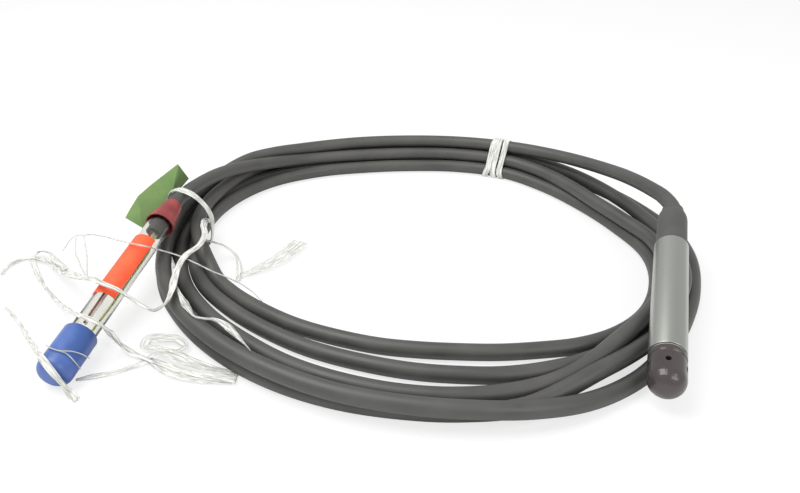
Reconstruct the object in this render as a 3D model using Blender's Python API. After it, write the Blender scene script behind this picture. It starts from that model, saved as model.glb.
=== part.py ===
"""Submersible level transmitter: a slim steel probe lying on its own hand-wound cable.

Metres, +Z up.  The origin is on the floor under the middle of the probe, +Y runs along the
probe towards its cable, and the coil lies to the left of it.
"""
import math

import bmesh
import bpy
import numpy as np
from mathutils import Matrix, Vector

MM = 0.001
GAP = 0.0003                 # left between pieces that touch
FINE = 48                    # sides of the large round pieces
PLAIN = 20                   # sides of the small ones
DRILL_SIDES = 12             # sides of a drilled hole or a thin rod

# Cable
CABLE_R = 0.0043
LEAD_END = 58.0              # winding angle where the lead joins the bundle, degrees
TAIL_START = 150.0 + 5 * 360  # winding angle where the free end leaves it, degrees
COIL_CENTRE = Vector((-0.1432, 0.0306, 0.0))
COIL_R = 0.148               # mean distance of the turns from that centre
COIL_ZERO = 17.3             # direction from which winding angles count, degrees from +X
COIL_STEP = 3.0              # degrees between sections of the coil
COIL_SIDES = 12              # flats round one section

# Twine ties
TIE_THICK = 0.0009
TIE_GAP = 0.0005
TIE_WIDTH = 0.0032
TIE_ANGLES = (60.4, 62.6, 64.8)
LEFT_TIE_ANGLE = 166.5
LEFT_TIE_WIDTH = 0.0050
FLOOR_GAP = 0.0001           # under a tie
TWINE_R = 0.0011
TWINE_STEP = 0.0055          # between the points of a loose end

# Probe, placed by the rim at its nose end; distances along its axis run towards the cable
RIM = Vector((0.0, -0.0446, 0.01765))
PROBE_TILT = 9.8             # degrees above the floor
TUBE_R = 0.00875
TUBE_LENGTH = 0.0792
TUBE_WALL = 0.00215
SOCKET_WALL = 0.0013         # left round the wide bore at either end
TUBE_BORE_R = TUBE_R - TUBE_WALL
TUBE_SOCKET_R = TUBE_R - SOCKET_WALL
NOSE_SOCKET = 0.0182         # depth of the wide bore at the nose end
GLAND_SOCKET = 0.0090        # depth of the wide bore at the cable end
RIM_CHAMFER = 0.0004
SPIGOT_R = TUBE_SOCKET_R - GAP
SEAL_R = 0.0005              # half thickness of an O-ring
SEAL_GROOVE = 0.0016
GROOVE_FLOOR_R = SPIGOT_R - 2 * SEAL_R - GAP

# Nose cone
NOSE_GAP = 0.00105           # open joint between the tube's rim and the nose cone
NOSE_LENGTH = 0.0230
NOSE_SKIRT = 0.0070
NOSE_WALL = 0.00065          # between the cavity and the O-ring's groove
NOSE_CAVITY_R = GROOVE_FLOOR_R - NOSE_WALL
NOSE_DOME_R = 0.0080         # of the rounded edge of its closed end
NOSE_WAIST_DEPTH = 0.0004    # of the shallow band between its collar and its cone
NOSE_WAIST_AT = 0.0048
NOSE_HOLE_R = 0.00135
NOSE_HOLE_AT = 0.0100
NOSE_HOLES = 5
NOSE_HOLE_FIRST = 12.0       # direction of the first water hole, degrees up from the right
WASHER_THICK = 0.0005
WASHER_INSET = 0.00045       # of the washer's edge from the tube's outside

# Sensor stack
NUT_LENGTH = 0.0018
NUT_WALL = 0.00155
CAPSULE_LENGTH = 0.0082
DIAPHRAGM_INSET = 0.00155    # of the diaphragm's edge from the capsule's outside
DIAPHRAGM_THICK = 0.0005
DIAPHRAGM_DEPTH = 0.0004
HEADER_INSET = 0.0011        # of the header's edge from the tube's bore
HEADER_LENGTH = 0.0018
PIN_COUNT = 4
PIN_R = 0.0004
PIN_LENGTH = 0.0036
PIN_CIRCLE_R = 0.0030

# Electronics
BOARD_WIDTH = 0.0096
BOARD_THICK = 0.0012
BOARD_LENGTH = 0.0410
BOARD_START = 0.0248
SPACER_THICK = 0.0030
SPACER_INSET = 0.0025
VENT_R = 0.0008
VENT_Y = -0.0036
WIRE_R = 0.00055
WIRE_PITCH = 0.0022
ARRESTER_R = 0.0013
ARRESTER_LENGTH = 0.0044
ARRESTER_AT = 0.0566

# Gland
GLAND_LENGTH = 0.0340
GLAND_R = 0.0080
COLLAR_R = 0.0059
COLLAR_LENGTH = 0.0029
CORE_NECK_R = 0.0062
CORE_NECK_END = 0.0980
CABLE_SEAT = 0.0837          # where the cable's jacket ends inside the gland
CORE_WAY_R = 0.0034
CLAMP_WASHER = 0.0008
GROMMET_LENGTH = 0.0058

# Places along the probe that follow from those sizes
PROBE_AXIS = Vector((0.0, math.cos(math.radians(PROBE_TILT)), math.sin(math.radians(PROBE_TILT))))
GLAND_START = TUBE_LENGTH + GAP
GLAND_END = TUBE_LENGTH + GLAND_LENGTH
CORE_START = TUBE_LENGTH - GLAND_SOCKET + GAP
NUT_START = NOSE_SKIRT + 2 * GAP
CAPSULE_START = NUT_START + NUT_LENGTH + GAP
CAPSULE_END = NOSE_SOCKET - GAP
HEADER_START = NOSE_SOCKET
HEADER_END = HEADER_START + HEADER_LENGTH
BOARD_END = BOARD_START + BOARD_LENGTH

# Free end of the cable; distances along its axis run towards the cap
END_START = Vector((-0.2820, -0.0167, 0.0275))
END_TIP = Vector((-0.2689, -0.1290, 0.0089))
END_AXIS = (END_TIP - END_START).normalized()
SLEEVE_R = 0.0066
SLEEVE_WALL = 0.0006
SLEEVE_START = -0.0020
SLEEVE_END = 0.1100
BAND_START = -0.0165
BAND_END = 0.0028
BAND_WALL = 0.0006
BAND_FLARE = 0.0008
JACKET_END = 0.0115
CAP_WALL = 0.0017
CAP_START = 0.0915
CAP_END = 0.1190
CAP_ROUND = 0.0050           # of its closed end's edge
LABEL_START = 0.0205
LABEL_END = 0.0680
LABEL_THICK = 0.0003
LABEL_FLATS = 12
LABEL_SPAN = 120.0           # degrees round the sleeve
LABEL_MIDDLE = 85.0          # direction of its middle, degrees up from the right
END_WIRE_R = 0.0006
END_WIRE_STOP = 0.0860
END_VENT_R = 0.0011
END_VENT_STOP = 0.0560
TAG_THICK = 0.0004

# The hand-wound turns: winding angle in degrees, distance from the coil's centre and height
# in millimetres, chosen by hand turn by turn
LEAD_TURN = (
    (-0.5, 148.3, 37.8), (3.3, 147.4, 38.0), (8.3, 145.5, 37.0), (18, 143.8, 34.0), (28, 144.9, 29.5),
    (44.5, 146.7, 23.8), (58, 146.9, 21.0),
    (75, 144.4, 19.6), (90, 142.5, 19.4), (105, 144.2, 19.4), (123, 150.4, 19.6), (130, 153.2, 20.5),
    (138, 156.4, 20.4), (144, 158.0, 17.8), (150, 158.4, 14.8), (158, 157.0, 13.2), (165, 153.6, 12.9),
    (180, 147.0, 12.6), (195, 143.2, 12.6), (210, 139.5, 12.6), (225, 136.6, 12.6), (240, 136.2, 12.6),
    (255, 138.3, 12.4), (266, 140.8, 12.2), (278, 145.0, 11.6), (290, 150.4, 9.6), (299, 152.8, 6.6),
    (306, 153.6, 4.6), (313, 154.8, 4.3), (322, 155.0, 4.3), (332, 155.8, 4.3), (345, 159.2, 4.3))
SECOND_TURN = (
    (0, 164.6, 4.3), (6, 165.6, 4.3), (15, 163.6, 4.3), (30, 161.0, 4.3), (45, 158.5, 4.3),
    (60, 156.4, 4.3), (75, 154.0, 4.3), (90, 152.3, 4.3), (105, 154.4, 4.3), (120, 159.2, 4.3),
    (135, 162.0, 4.3), (150, 161.0, 4.3), (165, 155.4, 4.3), (180, 148.6, 4.3), (195, 143.5, 4.3),
    (210, 138.6, 4.3), (225, 135.6, 4.3), (240, 134.4, 4.3), (255, 134.8, 4.3), (266, 136.0, 4.3),
    (278, 139.0, 4.3), (290, 142.2, 4.6), (299, 142.6, 8.0), (305, 143.6, 10.6), (311, 144.8, 10.8),
    (318, 146.0, 9.2), (325, 147.8, 7.6), (330, 149.0, 9.0), (336, 150.6, 11.6), (345, 153.2, 12.2))
THIRD_TURN = (
    (0, 152.0, 12.4), (12, 149.6, 12.2), (24, 149.4, 11.9), (45, 151.4, 11.9), (60, 151.4, 11.9),
    (75, 149.2, 11.9), (90, 147.0, 11.9), (105, 148.8, 11.9), (123, 154.6, 11.9), (135, 155.5, 12.4),
    (142, 152.5, 12.9), (150, 148.5, 12.7), (160, 143.0, 12.9), (170, 136.0, 12.9), (180, 127.2, 12.0),
    (188, 120.2, 8.4), (195, 115.2, 4.6), (202, 110.0, 4.3), (215, 101.8, 4.3), (231, 95.6, 4.3),
    (245, 92.4, 4.3), (259, 92.2, 4.3), (271, 93.5, 4.3), (283, 97.5, 4.3), (293, 103.6, 4.3),
    (303, 111.6, 4.3), (312, 121.2, 4.3), (321, 129.6, 4.3), (330, 135.6, 4.3), (345, 140.2, 4.3))
FOURTH_TURN = (
    (0, 140.8, 4.3), (15, 134.8, 4.3), (30, 132.2, 4.3), (45, 133.8, 4.3), (60, 136.6, 4.3),
    (75, 133.8, 4.3), (90, 130.8, 4.3), (105, 132.2, 4.3), (120, 138.2, 4.3), (135, 143.6, 4.3),
    (150, 143.0, 4.3), (165, 138.0, 4.3), (180, 131.2, 4.3), (195, 123.8, 4.3), (210, 114.8, 4.3),
    (225, 108.8, 4.3), (240, 106.4, 4.3), (255, 106.4, 4.3), (271, 110.4, 4.3), (280, 114.0, 4.3),
    (289, 119.1, 4.3), (298, 124.1, 4.3), (307, 129.5, 4.3), (314, 133.4, 4.3), (321, 138.2, 4.3),
    (330, 144.4, 4.3), (345, 149.0, 4.3))
FIFTH_TURN = (
    (0, 149.6, 4.3), (15, 144.0, 4.3), (30, 142.2, 4.3), (45, 143.6, 4.3), (60, 146.4, 4.3),
    (75, 143.8, 4.3), (90, 141.2, 4.3), (105, 142.6, 4.3), (120, 148.6, 4.3), (135, 152.8, 4.3),
    (150, 151.8, 4.3), (165, 146.6, 4.3), (180, 139.9, 4.3), (195, 133.2, 4.3), (210, 126.4, 4.3),
    (225, 121.8, 4.3), (240, 121.2, 4.3), (255, 122.4, 4.3), (266, 124.8, 4.3), (278, 128.2, 4.3),
    (290, 131.4, 4.3), (298, 133.8, 5.2), (304, 135.6, 7.6), (309, 136.2, 10.0), (314, 136.6, 12.0),
    (320, 137.2, 12.1), (330, 139.8, 11.6), (345, 144.2, 11.9))
LAST_TURN = (
    (0, 143.2, 12.4), (12, 134.6, 12.9), (24, 130.8, 12.9), (36, 133.6, 12.4), (48, 138.6, 11.9),
    (60, 141.4, 11.9), (75, 138.8, 11.9), (90, 136.0, 11.9), (105, 137.6, 11.9), (123, 145.2, 13.1),
    (135, 146.5, 17.8), (142, 146.8, 21.0), (150, 147.4, 24.1), (160, 146.6, 26.6), (166, 145.6, 28.1),
    (170, 144.6, 28.9))
TURNS = (LEAD_TURN, SECOND_TURN, THIRD_TURN, FOURTH_TURN, FIFTH_TURN, LAST_TURN)

# Loose ends of the left tie, in millimetres
LONG_TAIL = (
    (-272.4, 20.0, 10.0), (-270.0, 10.0, 17.0), (-263.5, -3.0, 20.5), (-257.1, -12.7, 20.6),
    (-255.1, -21.6, 20.0), (-255.6, -35.3, 20.5), (-252.9, -48.0, 20.2), (-248.1, -59.4, 20.2),
    (-243.2, -69.8, 19.8), (-241.7, -77.9, 18.6), (-244.5, -83.0, 17.5), (-251.2, -82.9, 18.5),
    (-258.2, -83.2, 22.6), (-263.6, -84.4, 27.0), (-270.4, -84.2, 28.6), (-279.5, -80.8, 27.4),
    (-292.0, -74.6, 22.5), (-313.4, -62.8, 14.0), (-333.0, -50.8, 7.0), (-352.5, -39.8, 2.6),
    (-366.6, -40.6, 1.4), (-369.5, -49.6, 1.3), (-366.5, -58.6, 1.3))
FLOOR_TAIL = (
    (-190.9, -102.4, 1.3), (-199.1, -103.8, 1.3), (-209.6, -104.0, 1.3), (-220.7, -103.6, 1.3),
    (-232.4, -101.8, 1.3), (-240.9, -100.8, 1.3), (-249.2, -99.3, 1.6), (-255.0, -99.2, 4.5),
    (-257.0, -101.4, 11.5), (-257.8, -104.3, 18.5), (-260.6, -106.0, 22.6), (-265.2, -105.6, 23.4),
    (-271.6, -103.9, 22.6), (-286.0, -94.3, 15.5), (-302.2, -82.9, 8.0), (-318.4, -71.7, 2.6),
    (-330.8, -63.7, 1.4), (-341.1, -56.4, 1.3))

# Folded green tag, in millimetres: the edge of each leaf in order, the fold's two points first
TAG_FOLD = ((-293.3, 23.6, 45.9), (-298.6, 17.2, 22.4))
TAG_FRONT_LEAF = ((-305.5, 9.4, 16.3), (-310.7, 1.5, 9.5), (-319.2, -2.2, 17.3), (-316.7, 0.7, 22.4),
                  (-312.5, 5.1, 29.7), (-307.5, 11.9, 34.6))
TAG_BACK_LEAF = ((-304.5, 35.6, 21.0), (-303.5, 47.0, 24.5))


def clear_scene():
    for item in list(bpy.data.objects):
        bpy.data.objects.remove(item, do_unlink=True)


def material(name, colour, roughness, metallic=0.0, alpha=1.0):
    made = bpy.data.materials.get(name) or bpy.data.materials.new(name)
    made.use_nodes = True
    shader = made.node_tree.nodes["Principled BSDF"]
    shader.inputs["Base Color"].default_value = (*colour, 1.0)
    shader.inputs["Roughness"].default_value = roughness
    shader.inputs["Metallic"].default_value = metallic
    shader.inputs["Alpha"].default_value = alpha
    return made


STEEL = material("brushed_steel", (0.50, 0.51, 0.48), 0.38, 1.0)
BRIGHT = material("bright_steel", (0.62, 0.60, 0.55), 0.22, 1.0)
BRASS = material("brass", (0.66, 0.52, 0.30), 0.30, 1.0)
GOLD = material("gold_plate", (0.80, 0.62, 0.28), 0.30, 1.0)
BLACK_PLASTIC = material("black_plastic", (0.035, 0.030, 0.028), 0.22)
GLAND_PLASTIC = material("gland_plastic", (0.060, 0.060, 0.058), 0.62)
JACKET = material("cable_jacket", (0.075, 0.075, 0.070), 0.66)
RUBBER = material("seal_rubber", (0.020, 0.020, 0.020), 0.70)
NYLON = material("natural_nylon", (0.72, 0.70, 0.62), 0.50)
BOARD_GREEN = material("board_green", (0.03, 0.22, 0.09), 0.45)
CHIP_BLACK = material("chip_black", (0.03, 0.03, 0.03), 0.50)
TAN = material("capacitor_tan", (0.55, 0.38, 0.20), 0.50)
CERAMIC = material("arrester_ceramic", (0.80, 0.78, 0.72), 0.40)
WIRE_RED = material("wire_red", (0.40, 0.06, 0.04), 0.50)
WIRE_WHITE = material("wire_white", (0.80, 0.79, 0.74), 0.50)
WIRE_YELLOW = material("wire_yellow_green", (0.62, 0.66, 0.22), 0.50)
VENT = material("vent_nylon", (0.70, 0.70, 0.66), 0.45)
CLEAR = material("clear_vinyl", (0.86, 0.87, 0.84), 0.15, 0.0, 0.35)
RED_TAPE = material("red_tape", (0.42, 0.05, 0.06), 0.45)
ORANGE = material("orange_label", (0.95, 0.23, 0.05), 0.60)
BLUE = material("blue_vinyl", (0.07, 0.17, 0.50), 0.45)
GREEN_PAPER = material("green_tag_paper", (0.20, 0.44, 0.10), 0.70)
TWINE = material("white_twine", (0.82, 0.82, 0.78), 0.50)


def empty(name, origin, along):
    """An empty whose local +Z points along a direction."""
    made = bpy.data.objects.new(name, None)
    made.rotation_mode = "QUATERNION"
    made.location = origin
    made.rotation_quaternion = along.to_track_quat("Z", "Y")
    bpy.context.collection.objects.link(made)
    return made


def add(name, mesh, look, parent=None):
    mesh.materials.append(look)
    made = bpy.data.objects.new(name, mesh)
    made.parent = parent
    bpy.context.collection.objects.link(made)
    return made


def finish(bm, name, smooth=True):
    bmesh.ops.remove_doubles(bm, verts=bm.verts, dist=1e-7)
    bmesh.ops.recalc_face_normals(bm, faces=bm.faces)
    mesh = bpy.data.meshes.new(name)
    bm.to_mesh(mesh)
    bm.free()
    if smooth:
        mesh.shade_smooth()
        mesh.set_sharp_from_angle(angle=math.radians(35))
    return mesh


def turned(name, outline, look, parent=None, sides=FINE):
    """A closed outline of (radius, distance) points turned once about the local Z axis."""
    bm = bmesh.new()
    rings = []
    for radius, along in outline:
        if radius < 1e-7:
            rings.append([bm.verts.new((0.0, 0.0, along))])
            continue
        rings.append([bm.verts.new((radius * math.cos(2 * math.pi * i / sides),
                                    radius * math.sin(2 * math.pi * i / sides), along))
                      for i in range(sides)])
    for here, there in zip(rings, rings[1:] + rings[:1]):
        if len(here) == 1 and len(there) == 1:
            continue
        for i in range(sides):
            j = (i + 1) % sides
            lower = (here[i % len(here)], here[j % len(here)])
            upper = (there[j % len(there)], there[i % len(there)])
            bm.faces.new(list(dict.fromkeys(lower + upper)))
    return add(name, finish(bm, name), look, parent)


def ring(name, inner, outer, start, end, look, parent=None, sides=FINE):
    """A plain collar between two radii and two distances."""
    return turned(name, [(inner, start), (outer, start), (outer, end), (inner, end)], look, parent, sides)


def disc(name, radius, start, end, look, parent=None, sides=FINE):
    """A plain cylinder, optionally as thin as a disc."""
    return turned(name, [(0.0, start), (radius, start), (radius, end), (0.0, end)], look, parent, sides)


def seal(name, centre_r, at, look, parent):
    """A round O-ring about the local Z axis."""
    steps = 8
    outline = [(centre_r + SEAL_R * math.cos(2 * math.pi * i / steps),
                at + SEAL_R * math.sin(2 * math.pi * i / steps)) for i in range(steps)]
    return turned(name, outline, look, parent, FINE)


def block(name, size, centre, look, parent=None):
    """A plain box of the given size about its centre."""
    bm = bmesh.new()
    bmesh.ops.create_cube(bm, size=1.0)
    place = Matrix.Translation(centre) @ Matrix.Diagonal((*size, 1.0))
    bmesh.ops.transform(bm, matrix=place, verts=bm.verts)
    return add(name, finish(bm, name, smooth=False), look, parent)


def tube(name, points, radius, look, parent=None, fineness=2):
    """A round rod through a list of points, with filled ends."""
    curve = bpy.data.curves.new(name, "CURVE")
    curve.dimensions = "3D"
    curve.bevel_depth = radius
    curve.bevel_resolution = fineness
    curve.use_fill_caps = True
    spline = curve.splines.new("POLY")
    spline.points.add(len(points) - 1)
    for point, place in zip(spline.points, points):
        point.co = (*place, 1.0)
    curve.materials.append(look)
    made = bpy.data.objects.new(name, curve)
    made.parent = parent
    bpy.context.collection.objects.link(made)
    return made


def cut(target, cutter):
    """Take the cutter's volume out of the target."""
    cutter.hide_render = True
    cutter.display_type = "WIRE"
    change = target.modifiers.new(cutter.name, "BOOLEAN")
    change.operation = "DIFFERENCE"
    change.solver = "EXACT"
    change.object = cutter


def smooth_through(knots, wanted):
    """Values at the wanted positions on a smooth curve through rows of (position, values...)."""
    rows = np.array(knots, dtype=float)
    at = rows[:, 0]
    values = rows[:, 1:]
    steps = np.diff(at)[:, None]
    slopes = np.diff(values, axis=0) / steps
    tangents = np.vstack([slopes[:1], (slopes[:-1] * steps[1:] + slopes[1:] * steps[:-1])
                          / (steps[1:] + steps[:-1]), slopes[-1:]])
    wanted = np.asarray(wanted, dtype=float)
    i = np.clip(np.searchsorted(at, wanted, side="right") - 1, 0, len(at) - 2)
    h = steps[i]
    t = ((wanted - at[i])[:, None]) / h
    return ((2 * t**3 - 3 * t**2 + 1) * values[i] + (t**3 - 2 * t**2 + t) * h * tangents[i]
            + (3 * t**2 - 2 * t**3) * values[i + 1] + (t**3 - t**2) * h * tangents[i + 1])


def smooth_route(points, spacing):
    """Points about a spacing apart on a smooth curve through hand-chosen places."""
    places = np.array([tuple(p) for p in points], dtype=float)
    run = np.concatenate([[0.0], np.cumsum(np.linalg.norm(np.diff(places, axis=0), axis=1))])
    count = max(2, round(run[-1] / spacing))
    knots = np.column_stack([run, places])
    return [Vector(row) for row in smooth_through(knots, np.linspace(0.0, run[-1], count + 1))]


def winding(angle):
    """Radius and height, in metres, of the wound cable's centre at winding angles in degrees."""
    knots = [(row[0] + 360 * turn, row[1] * MM, row[2] * MM)
             for turn, rows in enumerate(TURNS) for row in rows]
    return smooth_through(knots, angle)


def wound_place(angle, radius, height):
    """A point about the coil's centre."""
    turn = math.radians(angle + COIL_ZERO)
    return COIL_CENTRE + Vector((radius * math.cos(turn), radius * math.sin(turn), height))


def tie_lift(angle):
    """Height of the coil's underside over the floor: raised where twine passes beneath."""
    apart = [abs((angle - tie + 180) % 360 - 180) for tie in (*TIE_ANGLES, LEFT_TIE_ANGLE)]
    near = min(apart) < 2 * COIL_STEP
    return TIE_GAP + TIE_THICK + FLOOR_GAP if near else 0.0


def tie_half(width):
    """Half a tie's width as an angle of the coil, in degrees."""
    return math.degrees(width / 2 / COIL_R)


def bundle_section(angle, lanes_at, grow, floor):
    """Corners of the flat-sided outline round the lanes at one angle, cut off level at a floor."""
    lanes = winding(lanes_at)
    step = 2 * math.pi / COIL_SIDES
    directions = [-math.pi / 2 + step * i for i in range(COIL_SIDES)]
    reach = [float(np.max(lanes @ np.array((math.cos(d), math.sin(d))))) + CABLE_R + grow
             for d in directions]
    corners = []
    for i, d in enumerate(directions):
        after = reach[(i + 1) % COIL_SIDES]
        side = (after - reach[i] * math.cos(step)) / math.sin(step)
        corners.append((reach[i] * math.cos(d) - side * math.sin(d),
                        reach[i] * math.sin(d) + side * math.cos(d)))
    return [wound_place(angle, radius, max(height, floor)) for radius, height in corners]


def loft_ring(name, sections, look):
    """Skin a closed ring of sections that each have the same number of corners."""
    bm = bmesh.new()
    rings = [[bm.verts.new(corner) for corner in section] for section in sections]
    for here, there in zip(rings, rings[1:] + rings[:1]):
        for i in range(len(here)):
            j = (i + 1) % len(here)
            bm.faces.new((here[i], here[j], there[j], there[i]))
    bmesh.ops.triangulate(bm, faces=bm.faces)
    return add(name, finish(bm, name), look)


def passes(angle, first, last):
    """Winding angles of every turn that crosses a direction between two winding angles."""
    return [angle + 360 * k for k in range(len(TURNS)) if first <= angle + 360 * k <= last]


def make_coil():
    """The wound bundle as one body: six cables from the lead's entry to the tail's exit, then five."""
    edge = 0.03
    tail_angle = TAIL_START % 360
    six = np.linspace(LEAD_END, tail_angle, round((tail_angle - LEAD_END) / COIL_STEP) + 1)
    five = np.linspace(tail_angle + edge, LEAD_END + 360 - edge,
                       round((LEAD_END + 360 - tail_angle) / COIL_STEP) + 1)
    half = tie_half(LEFT_TIE_WIDTH)
    sections = []
    for angle in sorted([*six, *five, LEFT_TIE_ANGLE - half, LEFT_TIE_ANGLE + half]):
        lanes = passes(angle % 360, LEAD_END, TAIL_START)
        sections.append(bundle_section(angle, lanes, 0.0, tie_lift(angle)))
    return loft_ring("cable_coil", sections, JACKET)


def make_tie(name, angle, width, first, last):
    """A flat band of twine drawn once round everything at one angle of the coil."""
    lanes = passes(angle % 360, first, last)
    half = tie_half(width)
    outer = TIE_GAP + TIE_THICK
    bm = bmesh.new()
    loops = []
    for side, grow in ((-1, TIE_GAP), (1, TIE_GAP), (1, outer), (-1, outer)):
        section = bundle_section(angle + side * half, lanes, grow, tie_lift(angle) - grow)
        loops.append([bm.verts.new(corner) for corner in section])
    for here, there in zip(loops, loops[1:] + loops[:1]):
        for i in range(COIL_SIDES):
            j = (i + 1) % COIL_SIDES
            bm.faces.new((here[i], here[j], there[j], there[i]))
    bmesh.ops.triangulate(bm, faces=bm.faces)
    return add(name, finish(bm, name), TWINE)


def along_probe(distance):
    """A point on the probe's axis, by its distance from the nose-end rim."""
    return RIM + PROBE_AXIS * distance


def make_housing(parent):
    """The steel tube: a wide socket at each end of a narrower bore, with chamfered rims."""
    end = TUBE_LENGTH
    turned("housing_tube", [
        (TUBE_R - RIM_CHAMFER, 0.0), (TUBE_R, RIM_CHAMFER), (TUBE_R, end - RIM_CHAMFER),
        (TUBE_R - RIM_CHAMFER, end), (TUBE_SOCKET_R, end), (TUBE_SOCKET_R, end - GLAND_SOCKET),
        (TUBE_BORE_R, end - GLAND_SOCKET), (TUBE_BORE_R, NOSE_SOCKET), (TUBE_SOCKET_R, NOSE_SOCKET),
        (TUBE_SOCKET_R, 0.0)], STEEL, parent)


def groove(at):
    """Outline of an O-ring's groove in a spigot, centred on a distance."""
    half = SEAL_GROOVE / 2
    return [(SPIGOT_R, at - half), (GROOVE_FLOOR_R, at - half), (GROOVE_FLOOR_R, at + half),
            (SPIGOT_R, at + half)]


def make_nose(parent):
    """The black nose: a collar, a rounded cone with water holes and a skirt screwed into the tube."""
    seal_at = NOSE_SKIRT / 2
    collar = -NOSE_GAP
    tip = -NOSE_LENGTH
    waist = -NOSE_WAIST_AT
    waist_r = TUBE_R - NOSE_WAIST_DEPTH
    flat_r = TUBE_R - NOSE_DOME_R
    dome_centre = tip + NOSE_DOME_R
    dome = [(flat_r + NOSE_DOME_R * math.cos(math.radians(a)),
             dome_centre - NOSE_DOME_R * math.sin(math.radians(a))) for a in range(0, 91, 10)]
    outline = [
        (0.0, tip + 0.0045), (0.0028, tip + 0.0052), (NOSE_CAVITY_R - 0.0008, tip + 0.0088),
        (NOSE_CAVITY_R, tip + 0.0105), (NOSE_CAVITY_R, NOSE_SKIRT), (SPIGOT_R, NOSE_SKIRT)]
    outline += list(reversed(groove(seal_at)))
    outline += [
        (SPIGOT_R, collar), (TUBE_R - 0.0003, collar), (TUBE_R, collar - 0.0003),
        (TUBE_R, waist + 0.0013), (waist_r, waist + 0.0006), (waist_r, waist - 0.0006),
        (TUBE_R, waist - 0.0013)]
    outline += dome + [(0.0, tip)]
    nose = turned("nose_cone", outline, BLACK_PLASTIC, parent)
    for i in range(NOSE_HOLES):
        name = "nose_hole_drill_%d" % (i + 1)
        turn = math.radians(NOSE_HOLE_FIRST + 360.0 * i / NOSE_HOLES)
        out = Vector((math.cos(turn), math.sin(turn), 0.0))
        drill = disc(name, NOSE_HOLE_R, 0.0, 2 * TUBE_R, BLACK_PLASTIC, parent, DRILL_SIDES)
        drill.rotation_mode = "QUATERNION"
        drill.rotation_quaternion = out.to_track_quat("Z", "Y")
        drill.location = (0.0, 0.0, -NOSE_HOLE_AT)
        cut(nose, drill)
    seal("nose_o_ring", SPIGOT_R - SEAL_R, seal_at, RUBBER, parent)
    middle = -NOSE_GAP / 2
    ring("joint_washer", TUBE_SOCKET_R, TUBE_R - WASHER_INSET, middle - WASHER_THICK / 2,
         middle + WASHER_THICK / 2, BRIGHT, parent)


def make_sensor(parent):
    """The pressure capsule behind its screwed ring: diaphragm, body, seal, header and pins."""
    nut_end = NUT_START + NUT_LENGTH
    ring("retaining_ring", SPIGOT_R - NUT_WALL, SPIGOT_R, NUT_START, nut_end, BRIGHT, parent)
    start = CAPSULE_START
    recess = DIAPHRAGM_DEPTH + DIAPHRAGM_THICK + GAP
    disc_r = SPIGOT_R - DIAPHRAGM_INSET
    seal_at = (start + CAPSULE_END) / 2 + 0.0006
    turned("sensor_capsule", [
        (0.0, start + recess), (disc_r + GAP, start + recess), (disc_r + GAP, start), (SPIGOT_R, start)]
        + groove(seal_at) + [(SPIGOT_R, CAPSULE_END), (0.0, CAPSULE_END)], BRIGHT, parent)
    front = start + DIAPHRAGM_DEPTH
    disc("isolating_diaphragm", disc_r, front, front + DIAPHRAGM_THICK, STEEL, parent, PLAIN)
    seal("capsule_o_ring", SPIGOT_R - SEAL_R, seal_at, RUBBER, parent)
    disc("sensor_header", TUBE_BORE_R - HEADER_INSET, HEADER_START, HEADER_END, BRIGHT, parent, PLAIN)
    for i in range(PIN_COUNT):
        turn = 2 * math.pi * (i + 0.5) / PIN_COUNT
        foot = HEADER_END + GAP
        pin = disc("header_pin_%d" % (i + 1), PIN_R, foot, foot + PIN_LENGTH, GOLD, parent, 8)
        pin.location = (PIN_CIRCLE_R * math.cos(turn), PIN_CIRCLE_R * math.sin(turn), 0.0)


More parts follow.
